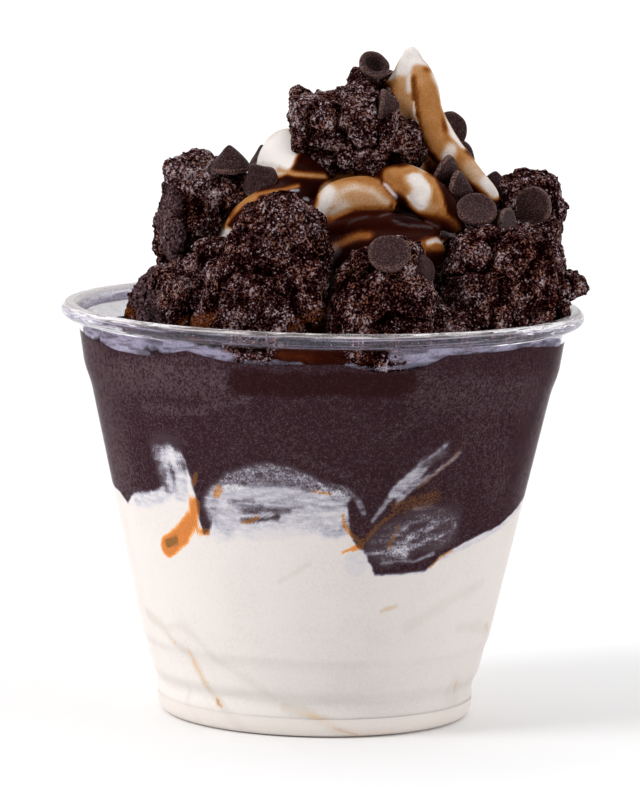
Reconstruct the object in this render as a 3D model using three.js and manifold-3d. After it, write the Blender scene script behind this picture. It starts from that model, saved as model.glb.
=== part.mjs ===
// A sundae in a clear squat cup: vanilla below, chocolate above, and a heap of soft-serve,
// syrup, torn brownie and chocolate chips.
// Millimetres, +Z up. The cup's axis is the Z axis and its foot stands on z = 0.
// The side that is seen from the front faces -Y. Angles round the cup are in degrees,
// 0 at the front and positive towards +X.
import * as THREE from 'three';
import { mergeVertices } from 'three/addons/utils/BufferGeometryUtils.js';
import Module from 'manifold-3d';

const wasm = await Module();
wasm.setup();

// ---- Driving dimensions -------------------------------------------------------------------

const clearance = 0.3;        // gap left between pieces that touch
const cup = {
  height: 72.4,
  rimRadius: 46,
  wall: 0.6,
  footRadius: 26,
  footRingInner: 24.2,
  recess: 1.2,                // how far the underside is hollowed
  floor: 0.8,
  bandRadius: 27.85,          // short upright band above the foot
  bandTop: 6.1,
  stepTop: 12.8,              // upper of the two rings near the foot
  stepRadius: 30.05,
  wallBottom: 14,
  wallBottomRadius: 30.65,
  shoulderBottom: 58,         // stacking shoulder
  shoulderBottomRadius: 40.5,
  shoulderTop: 61.5,
  shoulderTopRadius: 41.8,
  neck: 69.7,                 // where the wall turns out into the rolled rim
  neckRadius: 43.1,
  segments: 40,
};
const layer = {
  segments: 54,
  vanillaMiddle: 40,          // height of the boundary at the middle of the cup
  chocolateTop: 65.2,
};
const chip = { radius: 3.45, height: 4.6, lip: 0.9, segments: 8 };
const crumbSquare = 6.5;      // about how wide each square of a brownie's skin is

const colours = {
  cup: 0xdfe3ea, vanilla: 0xf1ebe2, chocolate: 0x4a383c, swirl: 0xe6d6c4, brownie: 0x2d1a18, chip: 0x3e2a2b,
};

// ---- Solids -------------------------------------------------------------------------------

const degrees = (angle) => THREE.MathUtils.degToRad(angle);
const mix = THREE.MathUtils.lerp;

// A closed geometry as a solid. Its seams and poles are merged, and it is turned inside out
// if it faces inwards.
function solidOf(geometry) {
  const bare = geometry.clone();
  bare.deleteAttribute('normal');
  bare.deleteAttribute('uv');
  const merged = mergeVertices(bare, 1e-4);
  const place = merged.attributes.position.array;
  const corners = merged.index.array;
  const triangles = [];
  for (let i = 0; i < corners.length; i += 3) {
    const [a, b, c] = corners.slice(i, i + 3);
    if (a !== b && b !== c && c !== a) triangles.push([a, b, c]);
  }
  const corner = (i) => new THREE.Vector3().fromArray(place, i * 3);
  const volume = triangles.reduce(
    (sum, [a, b, c]) => sum + corner(a).dot(corner(b).cross(corner(c))), 0);
  if (volume < 0) triangles.forEach((triangle) => triangle.reverse());
  const solid = new wasm.Manifold(new wasm.Mesh({
    numProp: 3,
    vertProperties: new Float32Array(place),
    triVerts: new Uint32Array(triangles.flat()),
  }));
  if (solid.status() !== 'NoError') throw new Error(`open geometry: ${solid.status()}`);
  return solid;
}

const fuse = (solids) => solids.reduce((whole, solid) => whole.add(solid));
const cutBy = (solid, cutters) => cutters.reduce((rest, cutter) => rest.subtract(cutter), solid);

// A cut can leave a crumb lying loose, so only the largest body is kept.
function largestBody(solid) {
  return solid.decompose().reduce((a, b) => (a.volume() > b.volume() ? a : b));
}

// A turned form about the Z axis, from [radius, height] pairs.
function turned(outline, segments) {
  const points = outline.map(([radius, height]) => new THREE.Vector2(radius, height));
  return new THREE.LatheGeometry(points, segments).rotateX(Math.PI / 2);
}

// Moves every vertex of a geometry to where the function puts it.
function reshaped(geometry, move) {
  const place = geometry.attributes.position;
  const point = new THREE.Vector3();
  for (let i = 0; i < place.count; i += 1) {
    point.fromBufferAttribute(place, i);
    move(point);
    place.setXYZ(i, point.x, point.y, point.z);
  }
  return geometry;
}

// Seeded waves in space: a smooth bumpy value between about -1 and 1.
function bumps(seed, waveLength) {
  let state = seed * 2654435761 % 4294967296;
  const draw = () => {
    state = (state * 1664525 + 1013904223) % 4294967296;
    return state / 4294967296;
  };
  const waves = Array.from({ length: 6 }, () => {
    const direction = new THREE.Vector3(draw() - 0.5, draw() - 0.5, draw() - 0.5).normalize();
    const length = waveLength * (0.6 + 0.9 * draw());
    return { direction: direction.multiplyScalar(2 * Math.PI / length), phase: draw() * 2 * Math.PI };
  });
  return (point) => waves.reduce(
    (sum, wave) => sum + Math.sin(point.dot(wave.direction) + wave.phase), 0) / 3;
}

// ---- Cup ----------------------------------------------------------------------------------

// The outside from the foot ring up to the neck, as [height, radius].
const outside = [
  [0, cup.footRadius],
  [0.7, cup.footRadius + 1.3],
  [2.2, cup.bandRadius],
  [cup.bandTop, cup.bandRadius],
  [8, cup.bandRadius + 1.05],
  [cup.stepTop, cup.stepRadius],
  [cup.wallBottom, cup.wallBottomRadius],
  [cup.shoulderBottom, cup.shoulderBottomRadius],
  [cup.shoulderTop, cup.shoulderTopRadius],
  [cup.neck, cup.neckRadius],
];

// The inside, from the rounded corner at the floor up to the neck.
const insideFloor = cup.recess + cup.floor;
const inside = [
  [insideFloor, cup.bandRadius - cup.wall - 1.3],
  [insideFloor + 1.3, cup.bandRadius - cup.wall],
  ...outside.filter(([height]) => height >= cup.bandTop).map(([height, radius]) => [height, radius - cup.wall]),
];

// The radius of the cup's inside at a height.
function insideRadius(height) {
  const next = Math.max(1, inside.findIndex(([level]) => level >= height));
  const [lowLevel, lowRadius] = inside[next - 1];
  const [highLevel, highRadius] = inside[next];
  return mix(lowRadius, highRadius, (height - lowLevel) / (highLevel - lowLevel));
}

function cupShape() {
  const rim = [
    [cup.rimRadius - 0.9, cup.neck + 0.1],
    [cup.rimRadius, cup.neck + 0.9],
    [cup.rimRadius, cup.height - 0.9],
    [cup.rimRadius - 0.8, cup.height],
    [cup.neckRadius + 0.5, cup.height],
    [cup.neckRadius - 0.3, cup.height - 0.8],
  ];
  return turned([
    [0, cup.recess],
    [cup.footRingInner - 0.8, cup.recess],
    [cup.footRingInner, 0],
    ...outside.map(([height, radius]) => [radius, height]),
    ...rim,
    ...inside.map(([height, radius]) => [radius, height]).reverse(),
    [0, insideFloor],
  ], cup.segments);
}

// Everything the food may fill: the cup's inside, and the open space above the rim.
function roomForFood() {
  const wall = inside.slice(1).map(([height, radius]) => [radius - clearance, height]);
  return turned([
    [0, insideFloor + 2 * clearance],
    ...wall,
    [cup.neckRadius - 0.3 - clearance, cup.height - 0.8],
    [cup.neckRadius + 0.3, cup.height + clearance],
    [cup.rimRadius + 4, cup.height + clearance],
    [cup.rimRadius + 4, cup.height * 2],
    [0, cup.height * 2],
  ], cup.segments);
}

// ---- The two layers in the cup ------------------------------------------------------------

// The boundary between vanilla and chocolate at the wall: a level with swells and drips, each
// [angle, height above or below the level, half width in degrees].
const boundary = {
  level: 40.5,
  swells: [
    [-41, 8, 3.6],            // plume of vanilla pushed up
    [-33.5, -6.5, 2.9],       // chocolate running down beside it
    [-67, -2, 2.5],           // thin run at the left
    [-10, 8.5, 13],           // long hump left of the middle
    [20, -12.5, 10.5],        // chocolate sinking right of the middle
    [38, -6, 12],
    [62, -4, 14],
    [128, 4, 20],
    [172, -5, 22],
    [-130, 3.5, 18],
  ],
};

function boundaryHeight(angle) {
  return boundary.swells.reduce((height, [centre, swell, width]) => {
    const away = ((angle - centre + 540) % 360) - 180;
    return height + swell * Math.exp(-((away / width) ** 2));
  }, boundary.level);
}

// The chocolate's top edge at the wall, a little higher at the right.
const chocolateEdge = (angle) => 66.6 + 1.3 * Math.sin(degrees(angle)) - 0.8 * Math.cos(degrees(angle));

// Lies between the value at the cup's middle and the value at the wall.
function spread(middle, edge, share) {
  return mix(middle, edge, THREE.MathUtils.smoothstep(share, 0.35, 1));
}

const vanillaTop = (angle, share) => spread(layer.vanillaMiddle, boundaryHeight(angle), share);
const chocolateTop = (angle, share) => spread(layer.chocolateTop, chocolateEdge(angle), share);

// A layer that fills the cup between two surfaces. It is turned as a plain drum whose outline
// numbers its rows, and each row is then put at its own place. reach widens it past the wall.
function fillShape(bottom, top, wallLevels, reach = 0) {
  const shares = [0.4, 0.8];
  const rows = [
    () => [0, bottom],
    () => [1, bottom],
    ...wallLevels.map((level) => () => [1, level]),
    (angle) => [1, top(angle, 1)],
    ...shares.map((share) => (angle) => [share, top(angle, share)]).reverse(),
    (angle) => [0, top(angle, 0)],
  ];
  const drum = rows.map((row, i) => [i === 0 || i === rows.length - 1 ? 0 : 1, i]);
  return reshaped(turned(drum, layer.segments), (point) => {
    const row = rows[Math.round(point.z)];
    const around = Math.atan2(point.x, -point.y);
    const [share, height] = row(THREE.MathUtils.radToDeg(around));
    const radius = share * (insideRadius(height) - clearance + reach);
    point.set(radius * Math.sin(around), -radius * Math.cos(around), height);
  });
}

function vanillaSolid(grow = 0) {
  const rings = inside.filter(([height]) => height <= cup.wallBottom).slice(1).map(([height]) => height);
  const top = (angle, share) => vanillaTop(angle, share) + grow;
  return solidOf(fillShape(insideFloor + clearance, top, rings, grow));
}

// The chocolate sinks on to the vanilla, so it starts as a drum that reaches below it.
function chocolateDrum(grow = 0) {
  const lowest = cup.wallBottom + 4;
  const top = (angle, share) => chocolateTop(angle, share) + grow;
  return solidOf(fillShape(lowest, top, [cup.shoulderBottom, cup.shoulderTop], grow));
}

// ---- Soft-serve swirl ---------------------------------------------------------------------

// A soft rope of ice cream: a turned rod with round ends, bent along its path. The widths are
// its radius at even steps along the path, and flat squeezes it upright.
function ropeShape({ path, widths, sides = 7, steps = 7, flat = 1 }) {
  const curve = new THREE.CatmullRomCurve3(path.map((point) => new THREE.Vector3(...point)));
  const widthAt = (share) => {
    const step = Math.min(share * (widths.length - 1), widths.length - 1.0001);
    return mix(widths[Math.floor(step)], widths[Math.floor(step) + 1], step % 1);
  };
  const length = curve.getLength();
  const roundEnd = (share, width) => {
    const fromEnd = Math.min(share, 1 - share) * length;
    return Math.sqrt(Math.max(0, 1 - (1 - Math.min(1, fromEnd / width)) ** 2));
  };
  const rod = [[0, 0]];
  for (let i = 1; i < steps; i += 1) {
    const share = 0.5 - 0.5 * Math.cos(Math.PI * i / steps);
    rod.push([widthAt(share) * roundEnd(share, widthAt(share)), share]);
  }
  rod.push([0, 1]);
  const climb = curve.getPoint(1).sub(curve.getPoint(0)).normalize().z;
  const level = climb > 0.6 ? new THREE.Vector3(0, 1, 0) : new THREE.Vector3(0, 0, 1);
  return reshaped(turned(rod, sides), (point) => {
    const share = THREE.MathUtils.clamp(point.z, 0, 1);
    const along = curve.getTangentAt(share);
    const across = new THREE.Vector3().crossVectors(along, level).normalize();
    const rise = new THREE.Vector3().crossVectors(across, along);
    const centre = curve.getPointAt(share);
    point.copy(centre.addScaledVector(across, point.x).addScaledVector(rise, point.y * flat));
  });
}

// One turn of a coil about [x, y], from a start angle, rising and drawing in.
function coilPath({ centre, radii, heights, from, to, count }) {
  return Array.from({ length: count }, (_, i) => {
    const share = i / (count - 1);
    const angle = degrees(mix(from, to, share));
    const radius = mix(...radii, share);
    return [centre[0] + radius * Math.sin(angle), centre[1] - radius * Math.cos(angle), mix(...heights, share)];
  });
}

const swirl = {
  base: [[0, 65.9], [27, 65.9], [32.5, 67.5], [33, 71], [29, 77], [22, 83], [12, 88], [0, 90]],
  lowTurn: {
    path: coilPath({ centre: [2, 0], radii: [16, 13], heights: [79, 84], from: 140, to: -210, count: 12 }),
    widths: [7, 8.5, 8.5, 8, 7], sides: 7, steps: 15,
  },
  heart: {                    // the soft middle, leaning to the right as it rises
    path: [[5, 2, 82], [8, 1.5, 94], [11.5, 0.5, 104], [14, -0.6, 112], [14.6, -0.8, 118.4]],
    widths: [15, 12, 7.5, 4.4, 1], sides: 12, steps: 9,
  },
  highTurn: {                 // round the left side and the back
    path: [[-1, -12, 91], [-6, -5, 95], [-5.5, 3, 97], [2, 10, 97], [13, 11, 96], [21, 5, 96], [23, -3, 95]],
    widths: [5, 5.6, 6, 5.6, 5, 4.6, 4], sides: 7, steps: 12,
  },
  frontFold: {
    path: [[-2.4, -14.5, 88.8], [3, -16.5, 92], [8.5, -16.5, 92.5], [12, -15.6, 91.2]],
    widths: [2, 4, 4.2, 3.2],
  },
  rightFold: {
    path: [[9.5, -7.5, 93.5], [14, -12.6, 94.6], [18.6, -15.6, 92.4], [23.6, -18.6, 87.8]],
    widths: [3.4, 4, 3.7, 1.4],
  },
  ledge: {                    // the syrup's thick edge under the two folds
    path: [[-1, -18, 87.2], [6, -20.5, 88.4], [13, -20.5, 88.4], [20, -18.5, 87]],
    widths: [1.4, 2.6, 2.8, 1.6], flat: 0.7,
  },
  lowFold: {
    path: [[0.5, -19.5, 77], [3, -21.5, 82], [8, -22.5, 84], [15, -22, 84.3], [20.5, -19.5, 83.6]],
    widths: [3, 3.8, 3.8, 3.5, 2.6],
  },
  leftFold: {
    path: [[-15.8, -9, 83.4], [-12.6, -11.5, 87.8], [-8.5, -12.5, 90.6], [-2, -12, 91.5]],
    widths: [3.2, 3.8, 3.8, 3.2],
  },
  leftShoulder: { path: [[-6, 0, 95], [-6.4, 1, 99], [-3.8, 2, 101.4]], widths: [4.8, 4.8, 3.4], steps: 7 },
  ridge: {                    // the last turn, drawn up the right side into the peak
    path: [[29.8, -8, 91], [26.8, -7.8, 94.2], [23.6, -7, 97.4], [20.3, -6, 101.4], [17.4, -4.6, 106.6],
      [16.8, -3.4, 111], [14.8, -1.6, 116]],
    widths: [1.9, 2.4, 2.8, 3, 3, 2.8, 1.6], steps: 12,
  },
  rightFoot: { path: [[22, -6, 73], [32, -6, 71], [39, -4.5, 70.8]], widths: [6, 4.6, 2.6], steps: 6 },
};

function swirlSolid() {
  const { base, ...ropes } = swirl;
  return fuse([solidOf(turned(base, 16)), ...Object.values(ropes).map((rope) => solidOf(ropeShape(rope)))]);
}

// ---- Brownie chunks -----------------------------------------------------------------------

// A torn lump of brownie: a block with soft corners and a pitted, uneven skin. at is its
// centre, size its three widths, turn its tilts in degrees, round 0 for a cube and 1 for a
// ball, and taper how much its top draws in. grow makes it larger all round, to cut the room
// it lies in.
function lumpShape({ at, size, turn = [0, 0, 0], round = 0.55, taper = 0, seed }, grow) {
  const rough = bumps(seed, 9);
  const squares = THREE.MathUtils.clamp(Math.round(Math.max(...size) / crumbSquare), 2, 4);
  const block = new THREE.BoxGeometry(2, 2, 2, squares, squares, squares);
  const centre = new THREE.Vector3(...at);
  const tilt = new THREE.Euler(...turn.map(degrees));
  return reshaped(block, (point) => {
    const ball = point.clone().normalize();
    point.multiplyScalar(0.97).lerp(ball.multiplyScalar(1.12), round);
    const narrow = 1 - taper * point.z;
    point.multiply(new THREE.Vector3(narrow, narrow, 1));
    point.multiply(new THREE.Vector3(...size).multiplyScalar(0.5));
    const bulge = 0.9 * rough(point);
    const length = point.length();
    point.multiplyScalar((length + bulge + grow) / length);
    point.applyEuler(tilt).add(centre);
  });
}

const brownies = {
  brownie_top: [
    { at: [3.8, -3.5, 103.4], size: [19, 14, 14.5], turn: [6, -6, -8], round: 0.35, seed: 3 },
    { at: [12, -6, 101.4], size: [8, 9, 9], turn: [0, 10, 0], round: 0.7, seed: 8 },
  ],
  brownie_crest: [
    { at: [8.6, 3.5, 110.2], size: [10.5, 8, 7], turn: [0, 12, 15], seed: 5 },
  ],
  brownie_left_tall: [
    { at: [-23.5, -3, 86], size: [10.8, 14, 24.2], turn: [0, 2, 10], round: 0.6, taper: 0.05, seed: 11 },
    { at: [-22.4, -12.5, 73.4], size: [16, 13, 15], turn: [0, 2, -10], seed: 12 },
    { at: [-22.4, -19.6, 72.8], size: [11, 10.5, 14], turn: [0, 10, 20], seed: 14 },
    { at: [-19.4, -15.4, 78.6], size: [8, 8, 12.5], turn: [0, 10, 0], seed: 15 },
  ],
  brownie_left_crumb: [
    { at: [-16.6, -5.6, 92.4], size: [6.6, 7, 7.4], round: 0.7, seed: 13 },
  ],
  brownie_left_low: [
    { at: [-29, -12, 73.2], size: [7.4, 11, 11.6], turn: [0, 6, 20], taper: 0.1, seed: 17 },
  ],
  brownie_front_left: [
    { at: [-9, -27, 80.5], size: [20, 15.5, 25.2], turn: [0, 9, -4], round: 0.7, taper: 0.24, seed: 21 },
  ],
  brownie_front_centre: [
    { at: [10, -29.8, 76.6], size: [16.8, 14, 20], turn: [0, 2, 4], round: 0.62, taper: 0.27, seed: 25 },
  ],
  brownie_front_right: [
    { at: [29.8, -19.5, 78.4], size: [18.6, 15, 20.4], turn: [0, -2, 18], round: 0.55, taper: 0.1, seed: 31 },
    { at: [21.6, -26.6, 71.4], size: [9.5, 9, 9.5], turn: [0, 20, 10], seed: 33 },
  ],
  brownie_right_side: [
    { at: [36.6, -3.5, 79.4], size: [11, 15, 19], turn: [0, -2, 0], taper: 0.1, seed: 36 },
  ],
  brownie_right_back: [
    { at: [35.7, 1.5, 89.8], size: [10.2, 12, 12.5], turn: [0, -4, 0], round: 0.7, seed: 38 },
  ],
  brownie_spike: [
    { at: [42.8, -6, 76.8], size: [5.2, 6, 7.4], turn: [0, 88, 0], round: 0.7, taper: 0.5, seed: 41 },
  ],
  brownie_slab: [
    { at: [10.4, -37, 71.3], size: [8.6, 3.6, 2.6], turn: [-6, 0, 14], seed: 43 },
  ],
  brownie_wall_left: [
    { at: [-12, -38.6, 68.2], size: [9, 4.5, 4.6], turn: [0, 0, -17], seed: 45 },
  ],
  brownie_wall_centre: [
    { at: [8.6, -39.6, 67.2], size: [10.5, 4, 3.8], turn: [0, 0, 12], seed: 47 },
  ],
  brownie_back_left: [
    { at: [-19, 19, 78.5], size: [18, 16, 22], turn: [6, 4, 30], seed: 51 },
  ],
  brownie_back_centre: [
    { at: [1, 27, 79], size: [19, 14, 22], turn: [-8, 0, 6], seed: 55 },
  ],
  brownie_back_right: [
    { at: [22, 21.5, 80], size: [17, 16, 22], turn: [0, 6, -30], seed: 61 },
  ],
  brownie_back_low: [
    { at: [33, 15, 72.6], size: [12, 12, 10.5], turn: [0, 0, 35], seed: 62 },
  ],
  brownie_back_high: [
    { at: [2, 14.5, 93.5], size: [14, 11, 11], turn: [12, 6, 10], seed: 65 },
  ],
};

function brownieSolid(lumps, grow = 0) {
  return fuse(lumps.map((lump) => solidOf(lumpShape(lump, grow))));
}

// ---- Chocolate chips ----------------------------------------------------------------------

// A chip is a drop with a flat base. at is the middle of its base and tip the way it points.
const chips = {
  chip_ring: { at: [8.2, -3.6, 115.2], tip: [-0.35, 0.65, -0.68], scale: 0.82, hollow: true },
  chip_peak_side: { at: [9, -10.8, 108.8], tip: [1, 0.05, -0.1], scale: 0.76 },
  chip_left_upright: { at: [-16.6, -6.6, 96.2], tip: [-0.05, -0.15, 1], scale: 1 },
  chip_left_lying: { at: [-10.8, -9, 94], tip: [-0.45, -0.45, 0.8], scale: 1 },
  chip_behind_shoulder: { at: [-10.6, 3, 96.2], tip: [-0.2, 0.2, 0.9], scale: 0.85 },
  chip_right_high: { at: [22.1, 0.5, 103.7], tip: [-0.5, 0.8, -0.2], scale: 0.92 },
  chip_right_middle: { at: [24, 0.5, 98.9], tip: [-0.7, 0.6, -0.3], scale: 0.95 },
  chip_right_low: { at: [29.4, 1, 92.2], tip: [0.1, -0.2, 1], scale: 0.95 },
  chip_fold_high: { at: [19.9, -10.6, 97.6], tip: [0.8, -0.3, -0.4], scale: 0.85 },
  chip_fold_low: { at: [21.8, -13.8, 94.9], tip: [0.9, -0.2, -0.2], scale: 0.85 },
  chip_disc: { at: [26.2, -18.6, 91.8], tip: [-0.1, 0.66, -0.74], scale: 1.02 },
  chip_sliver: { at: [31.8, -17, 88.9], tip: [-0.85, 0.5, 0], scale: 0.8 },
  chip_right_brownie: { at: [36, -6, 91], tip: [0.45, 0.88, -0.1], scale: 1.02 },
  chip_front_disc: { at: [11, -35.4, 85.6], tip: [0.05, 0.77, -0.64], scale: 1.05 },
  chip_front_cone: { at: [15.6, -31, 81.7], tip: [0.25, -0.8, 0.5], scale: 0.95 },
  chip_back_left: { at: [-8, 21.5, 88.5], tip: [-0.4, 0.5, 0.75], scale: 1 },
  chip_back_middle: { at: [11.5, 20.5, 90], tip: [0.2, 0.8, 0.55], scale: 0.95 },
  chip_back_right: { at: [24.5, 14, 89.5], tip: [0.5, 0.5, 0.7], scale: 1 },
  chip_back_low: { at: [13.4, 31.8, 79.8], tip: [0.3, 0.6, 0.7], scale: 0.9 },
  chip_back_high: { at: [9.5, 12.5, 101.5], tip: [0, 0.85, 0.5], scale: 0.95 },
  chip_left_back: { at: [-21, 8.5, 89.5], tip: [-0.5, 0.4, 0.75], scale: 0.95 },
};

function chipSolid({ at, tip, scale, hollow = false }, grow = 0) {
  const radius = chip.radius * scale + grow;
  const height = chip.height * scale + grow;
  const lip = chip.lip * scale;
  const base = hollow && grow === 0
    ? [[0, height * 0.5], [radius * 0.52, height * 0.42], [radius * 0.62, -grow]]
    : [[0, -grow]];
  const outline = [
    ...base,
    [radius * 0.96, -grow],
    [radius, lip],
    [radius * 0.72, height * 0.48],
    [radius * 0.26, height * 0.86],
    [0, height],
  ];
  const shape = turned(outline, chip.segments);
  const lean = new THREE.Quaternion().setFromUnitVectors(
    new THREE.Vector3(0, 0, 1), new THREE.Vector3(...tip).normalize());
  return solidOf(shape.applyQuaternion(lean).translate(...at));
}

// ---- Assembly -----------------------------------------------------------------------------

const sundae = new THREE.Group();

function add(name, solid, material) {
  const { vertProperties, triVerts } = solid.getMesh();
  const geometry = new THREE.BufferGeometry();
  geometry.setAttribute('position', new THREE.BufferAttribute(vertProperties, 3));
  geometry.setIndex(new THREE.BufferAttribute(triVerts, 1));
  geometry.computeVertexNormals();
  const mesh = new THREE.Mesh(geometry, material);
  mesh.name = name;
  sundae.add(mesh);
}

const clearPlastic = new THREE.MeshStandardMaterial({
  color: colours.cup, roughness: 0.08, metalness: 0, transparent: true, opacity: 0.35,
});
const foodMaterial = (color, roughness) => new THREE.MeshStandardMaterial({ color, roughness, metalness: 0 });
const vanillaCream = foodMaterial(colours.vanilla, 0.5);
const chocolateCream = foodMaterial(colours.chocolate, 0.55);
const syrupedCream = foodMaterial(colours.swirl, 0.35);
const brownieCrumb = foodMaterial(colours.brownie, 0.9);
const chocolate = foodMaterial(colours.chip, 0.45);

add('cup', solidOf(cupShape()), clearPlastic);
add('vanilla_layer', vanillaSolid(), vanillaCream);

// Harder pieces press into softer ones, so each is cut by the grown shape of those before it.
const room = solidOf(roomForFood());
const pressing = [];

for (const [name, settings] of Object.entries(chips)) {
  add(name, largestBody(cutBy(chipSolid(settings).intersect(room), pressing)), chocolate);
  pressing.push(chipSolid(settings, clearance));
}
for (const [name, lumps] of Object.entries(brownies)) {
  add(name, largestBody(cutBy(brownieSolid(lumps).intersect(room), pressing)), brownieCrumb);
  pressing.push(brownieSolid(lumps, clearance));
}
add('chocolate_layer', largestBody(cutBy(chocolateDrum(), [vanillaSolid(clearance), ...pressing])), chocolateCream);
add('swirl', largestBody(cutBy(swirlSolid().intersect(room), [chocolateDrum(clearance), ...pressing])), syrupedCream);

export default sundae;
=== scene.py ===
import math
import bmesh
import bpy
import numpy as np
from mathutils import Matrix, Vector


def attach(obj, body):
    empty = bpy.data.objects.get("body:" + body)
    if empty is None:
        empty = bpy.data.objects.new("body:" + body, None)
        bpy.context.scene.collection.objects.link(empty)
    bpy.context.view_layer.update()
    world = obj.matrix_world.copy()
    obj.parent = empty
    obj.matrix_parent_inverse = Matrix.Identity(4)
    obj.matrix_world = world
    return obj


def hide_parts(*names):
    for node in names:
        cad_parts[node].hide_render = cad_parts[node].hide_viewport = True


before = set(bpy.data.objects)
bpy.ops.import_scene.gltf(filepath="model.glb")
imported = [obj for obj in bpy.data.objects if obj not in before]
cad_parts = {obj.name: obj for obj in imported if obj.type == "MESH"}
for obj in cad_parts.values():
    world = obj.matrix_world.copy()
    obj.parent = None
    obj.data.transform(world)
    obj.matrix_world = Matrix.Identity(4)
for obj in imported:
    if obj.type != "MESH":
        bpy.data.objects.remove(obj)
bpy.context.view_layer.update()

mm = 0.001   # lengths are in millimetres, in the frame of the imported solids


# helpers for meshes

def smoothstep(low, high, value):
    share = np.clip((value - low) / (high - low), 0, 1)
    return share * share * (3 - 2 * share)


def placesOf(mesh):   # the vertices in millimetres, one row each
    flat = np.empty(len(mesh.vertices) * 3)
    mesh.vertices.foreach_get("co", flat)
    return flat.reshape(-1, 3) / mm


def normalsOf(mesh):
    flat = np.empty(len(mesh.vertices) * 3)
    mesh.vertex_normals.foreach_get("vector", flat)
    return flat.reshape(-1, 3)


def moveTo(mesh, places):
    mesh.vertices.foreach_set("co", (np.asarray(places) * mm).ravel())
    mesh.update()


def paint(mesh, name, values):   # one number for each vertex, for the material to read
    layer = mesh.attributes.new(name, "FLOAT", "POINT")
    layer.data.foreach_set("value", np.asarray(values, np.float32))


def objectFrom(bm, name):   # a bmesh in millimetres becomes an object in metres
    bmesh.ops.scale(bm, vec=(mm, mm, mm), verts=bm.verts)
    mesh = bpy.data.meshes.new(name)
    bm.to_mesh(mesh)
    bm.free()
    made = bpy.data.objects.new(name, mesh)
    bpy.context.scene.collection.objects.link(made)
    return made


def applied(made):   # its modifiers go into its mesh
    shown = made.evaluated_get(bpy.context.evaluated_depsgraph_get())
    mesh = bpy.data.meshes.new_from_object(shown)
    made.modifiers.clear()
    old = made.data
    made.data = mesh
    bpy.data.meshes.remove(old)
    mesh.name = made.name
    return made


def remeshed(made, voxel, rounds):   # one even skin of small squares over whatever overlaps
    skin = made.modifiers.new("skin", "REMESH")
    skin.mode = "VOXEL"
    skin.voxel_size = voxel * mm
    soften = made.modifiers.new("soften", "SMOOTH")
    soften.factor = 0.5
    soften.iterations = rounds
    return applied(made)


def finished(made, material, nodes=()):   # the last step of every piece
    made.data.materials.clear()
    made.data.materials.append(material)
    made.data.shade_smooth()
    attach(made, "root")
    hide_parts(*nodes)
    return made


def spunFrom(outline, steps):   # (radius, height) pairs turned about the Z axis, as a bmesh
    bm = bmesh.new()
    rows = len(outline) - 1
    bmesh.ops.create_grid(bm, x_segments=steps, y_segments=rows, size=1)
    for vert in bm.verts:   # the flat grid is rolled up: its sides meet, and a row of radius 0 closes
        radius, height = outline[round((vert.co.y + 1) / 2 * rows)]
        turn = (vert.co.x + 1) * math.pi
        vert.co = (radius * math.cos(turn), radius * math.sin(turn), height)
    bmesh.ops.remove_doubles(bm, verts=bm.verts, dist=1e-5)
    bmesh.ops.recalc_face_normals(bm, faces=bm.faces)
    return bm


def drumOf(name, rows, steps, closed=False):   # a tube to shape, with each vertex's way round and row
    outline = [(0 if closed and row in (0, rows - 1) else 1, row) for row in range(rows)]
    made = objectFrom(spunFrom(outline, steps), name)
    places = placesOf(made.data)
    return made, np.arctan2(places[:, 0], -places[:, 1]), places[:, 2]


def aroundAxis(turn, radius, height):   # places, from the way round in radians, 0 in front
    return np.stack([radius * np.sin(turn), -radius * np.cos(turn), height + 0 * turn], 1)


# helpers for uneven shapes, all seeded by whole numbers

def drawFor(cells, seed):   # three numbers from 0 to 1 for each cell of a grid
    grid = cells.astype(np.int64)
    mixed = (grid[:, 0] * 73856093) ^ (grid[:, 1] * 19349663) ^ (grid[:, 2] * 83492791)
    mixed = np.mod(mixed ^ (seed * 40503), 104729)
    return np.stack([np.mod(mixed * step, 997) / 997 for step in (179, 523, 811)], 1)


def grains(places, size, seed):   # distance to the nearest of scattered middles, 0 to about 1
    scaled = places / size
    cell = np.floor(scaled - 0.5)
    nearest = np.full(len(places), 9.0)
    for corner in np.ndindex(2, 2, 2):
        other = cell + np.array(corner)
        away = np.linalg.norm(other + 0.15 + 0.7 * drawFor(other, seed) - scaled, axis=1)
        nearest = np.minimum(nearest, away)
    return nearest


def swells(places, size, seed):   # smooth unevenness from -1 to 1
    scaled = places / size
    cell = np.floor(scaled)
    inside = scaled - cell
    inside = inside * inside * (3 - 2 * inside)
    total = np.zeros(len(places))
    for corner in np.ndindex(2, 2, 2):
        share = np.abs(1 - np.array(corner) - inside).prod(axis=1)
        total += drawFor(cell + np.array(corner), seed)[:, 0] * share
    return total * 2 - 1


def sumOfSwells(places, parts):   # parts: depth, width and seed
    return sum(depth * swells(places, width, seed) for depth, width, seed in parts)


def strokeDistance(places, path):   # how far each place is from a line through some points
    path = [np.array(point, float) for point in (path if len(path) > 1 else path * 2)]
    nearest = np.full(len(places), 1e9)
    for start, end in zip(path[:-1], path[1:]):
        along = end - start
        share = np.clip((places - start) @ along / max(along @ along, 1e-9), 0, 1)
        away = np.linalg.norm(places - start - share[:, None] * along, axis=1)
        nearest = np.minimum(nearest, away)
    return nearest


def strokeWeight(places, path, width, soft, uneven):   # 1 on the stroke, 0 away from it
    return 1 - smoothstep(width, width + soft, strokeDistance(places, path) + uneven)


# helpers for materials

def treeOf(*parts):   # the node tree of the first socket among some sockets and numbers
    return next(part.id_data for part in parts if isinstance(part, bpy.types.NodeSocket))


def fill(made, name, value):
    socket = made.inputs[name]
    if isinstance(value, bpy.types.NodeSocket):
        made.id_data.links.new(value, socket)
    elif isinstance(value, tuple) and len(value) == 3 and len(socket.default_value) == 4:
        socket.default_value = (*value, 1)
    else:
        socket.default_value = value


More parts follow.
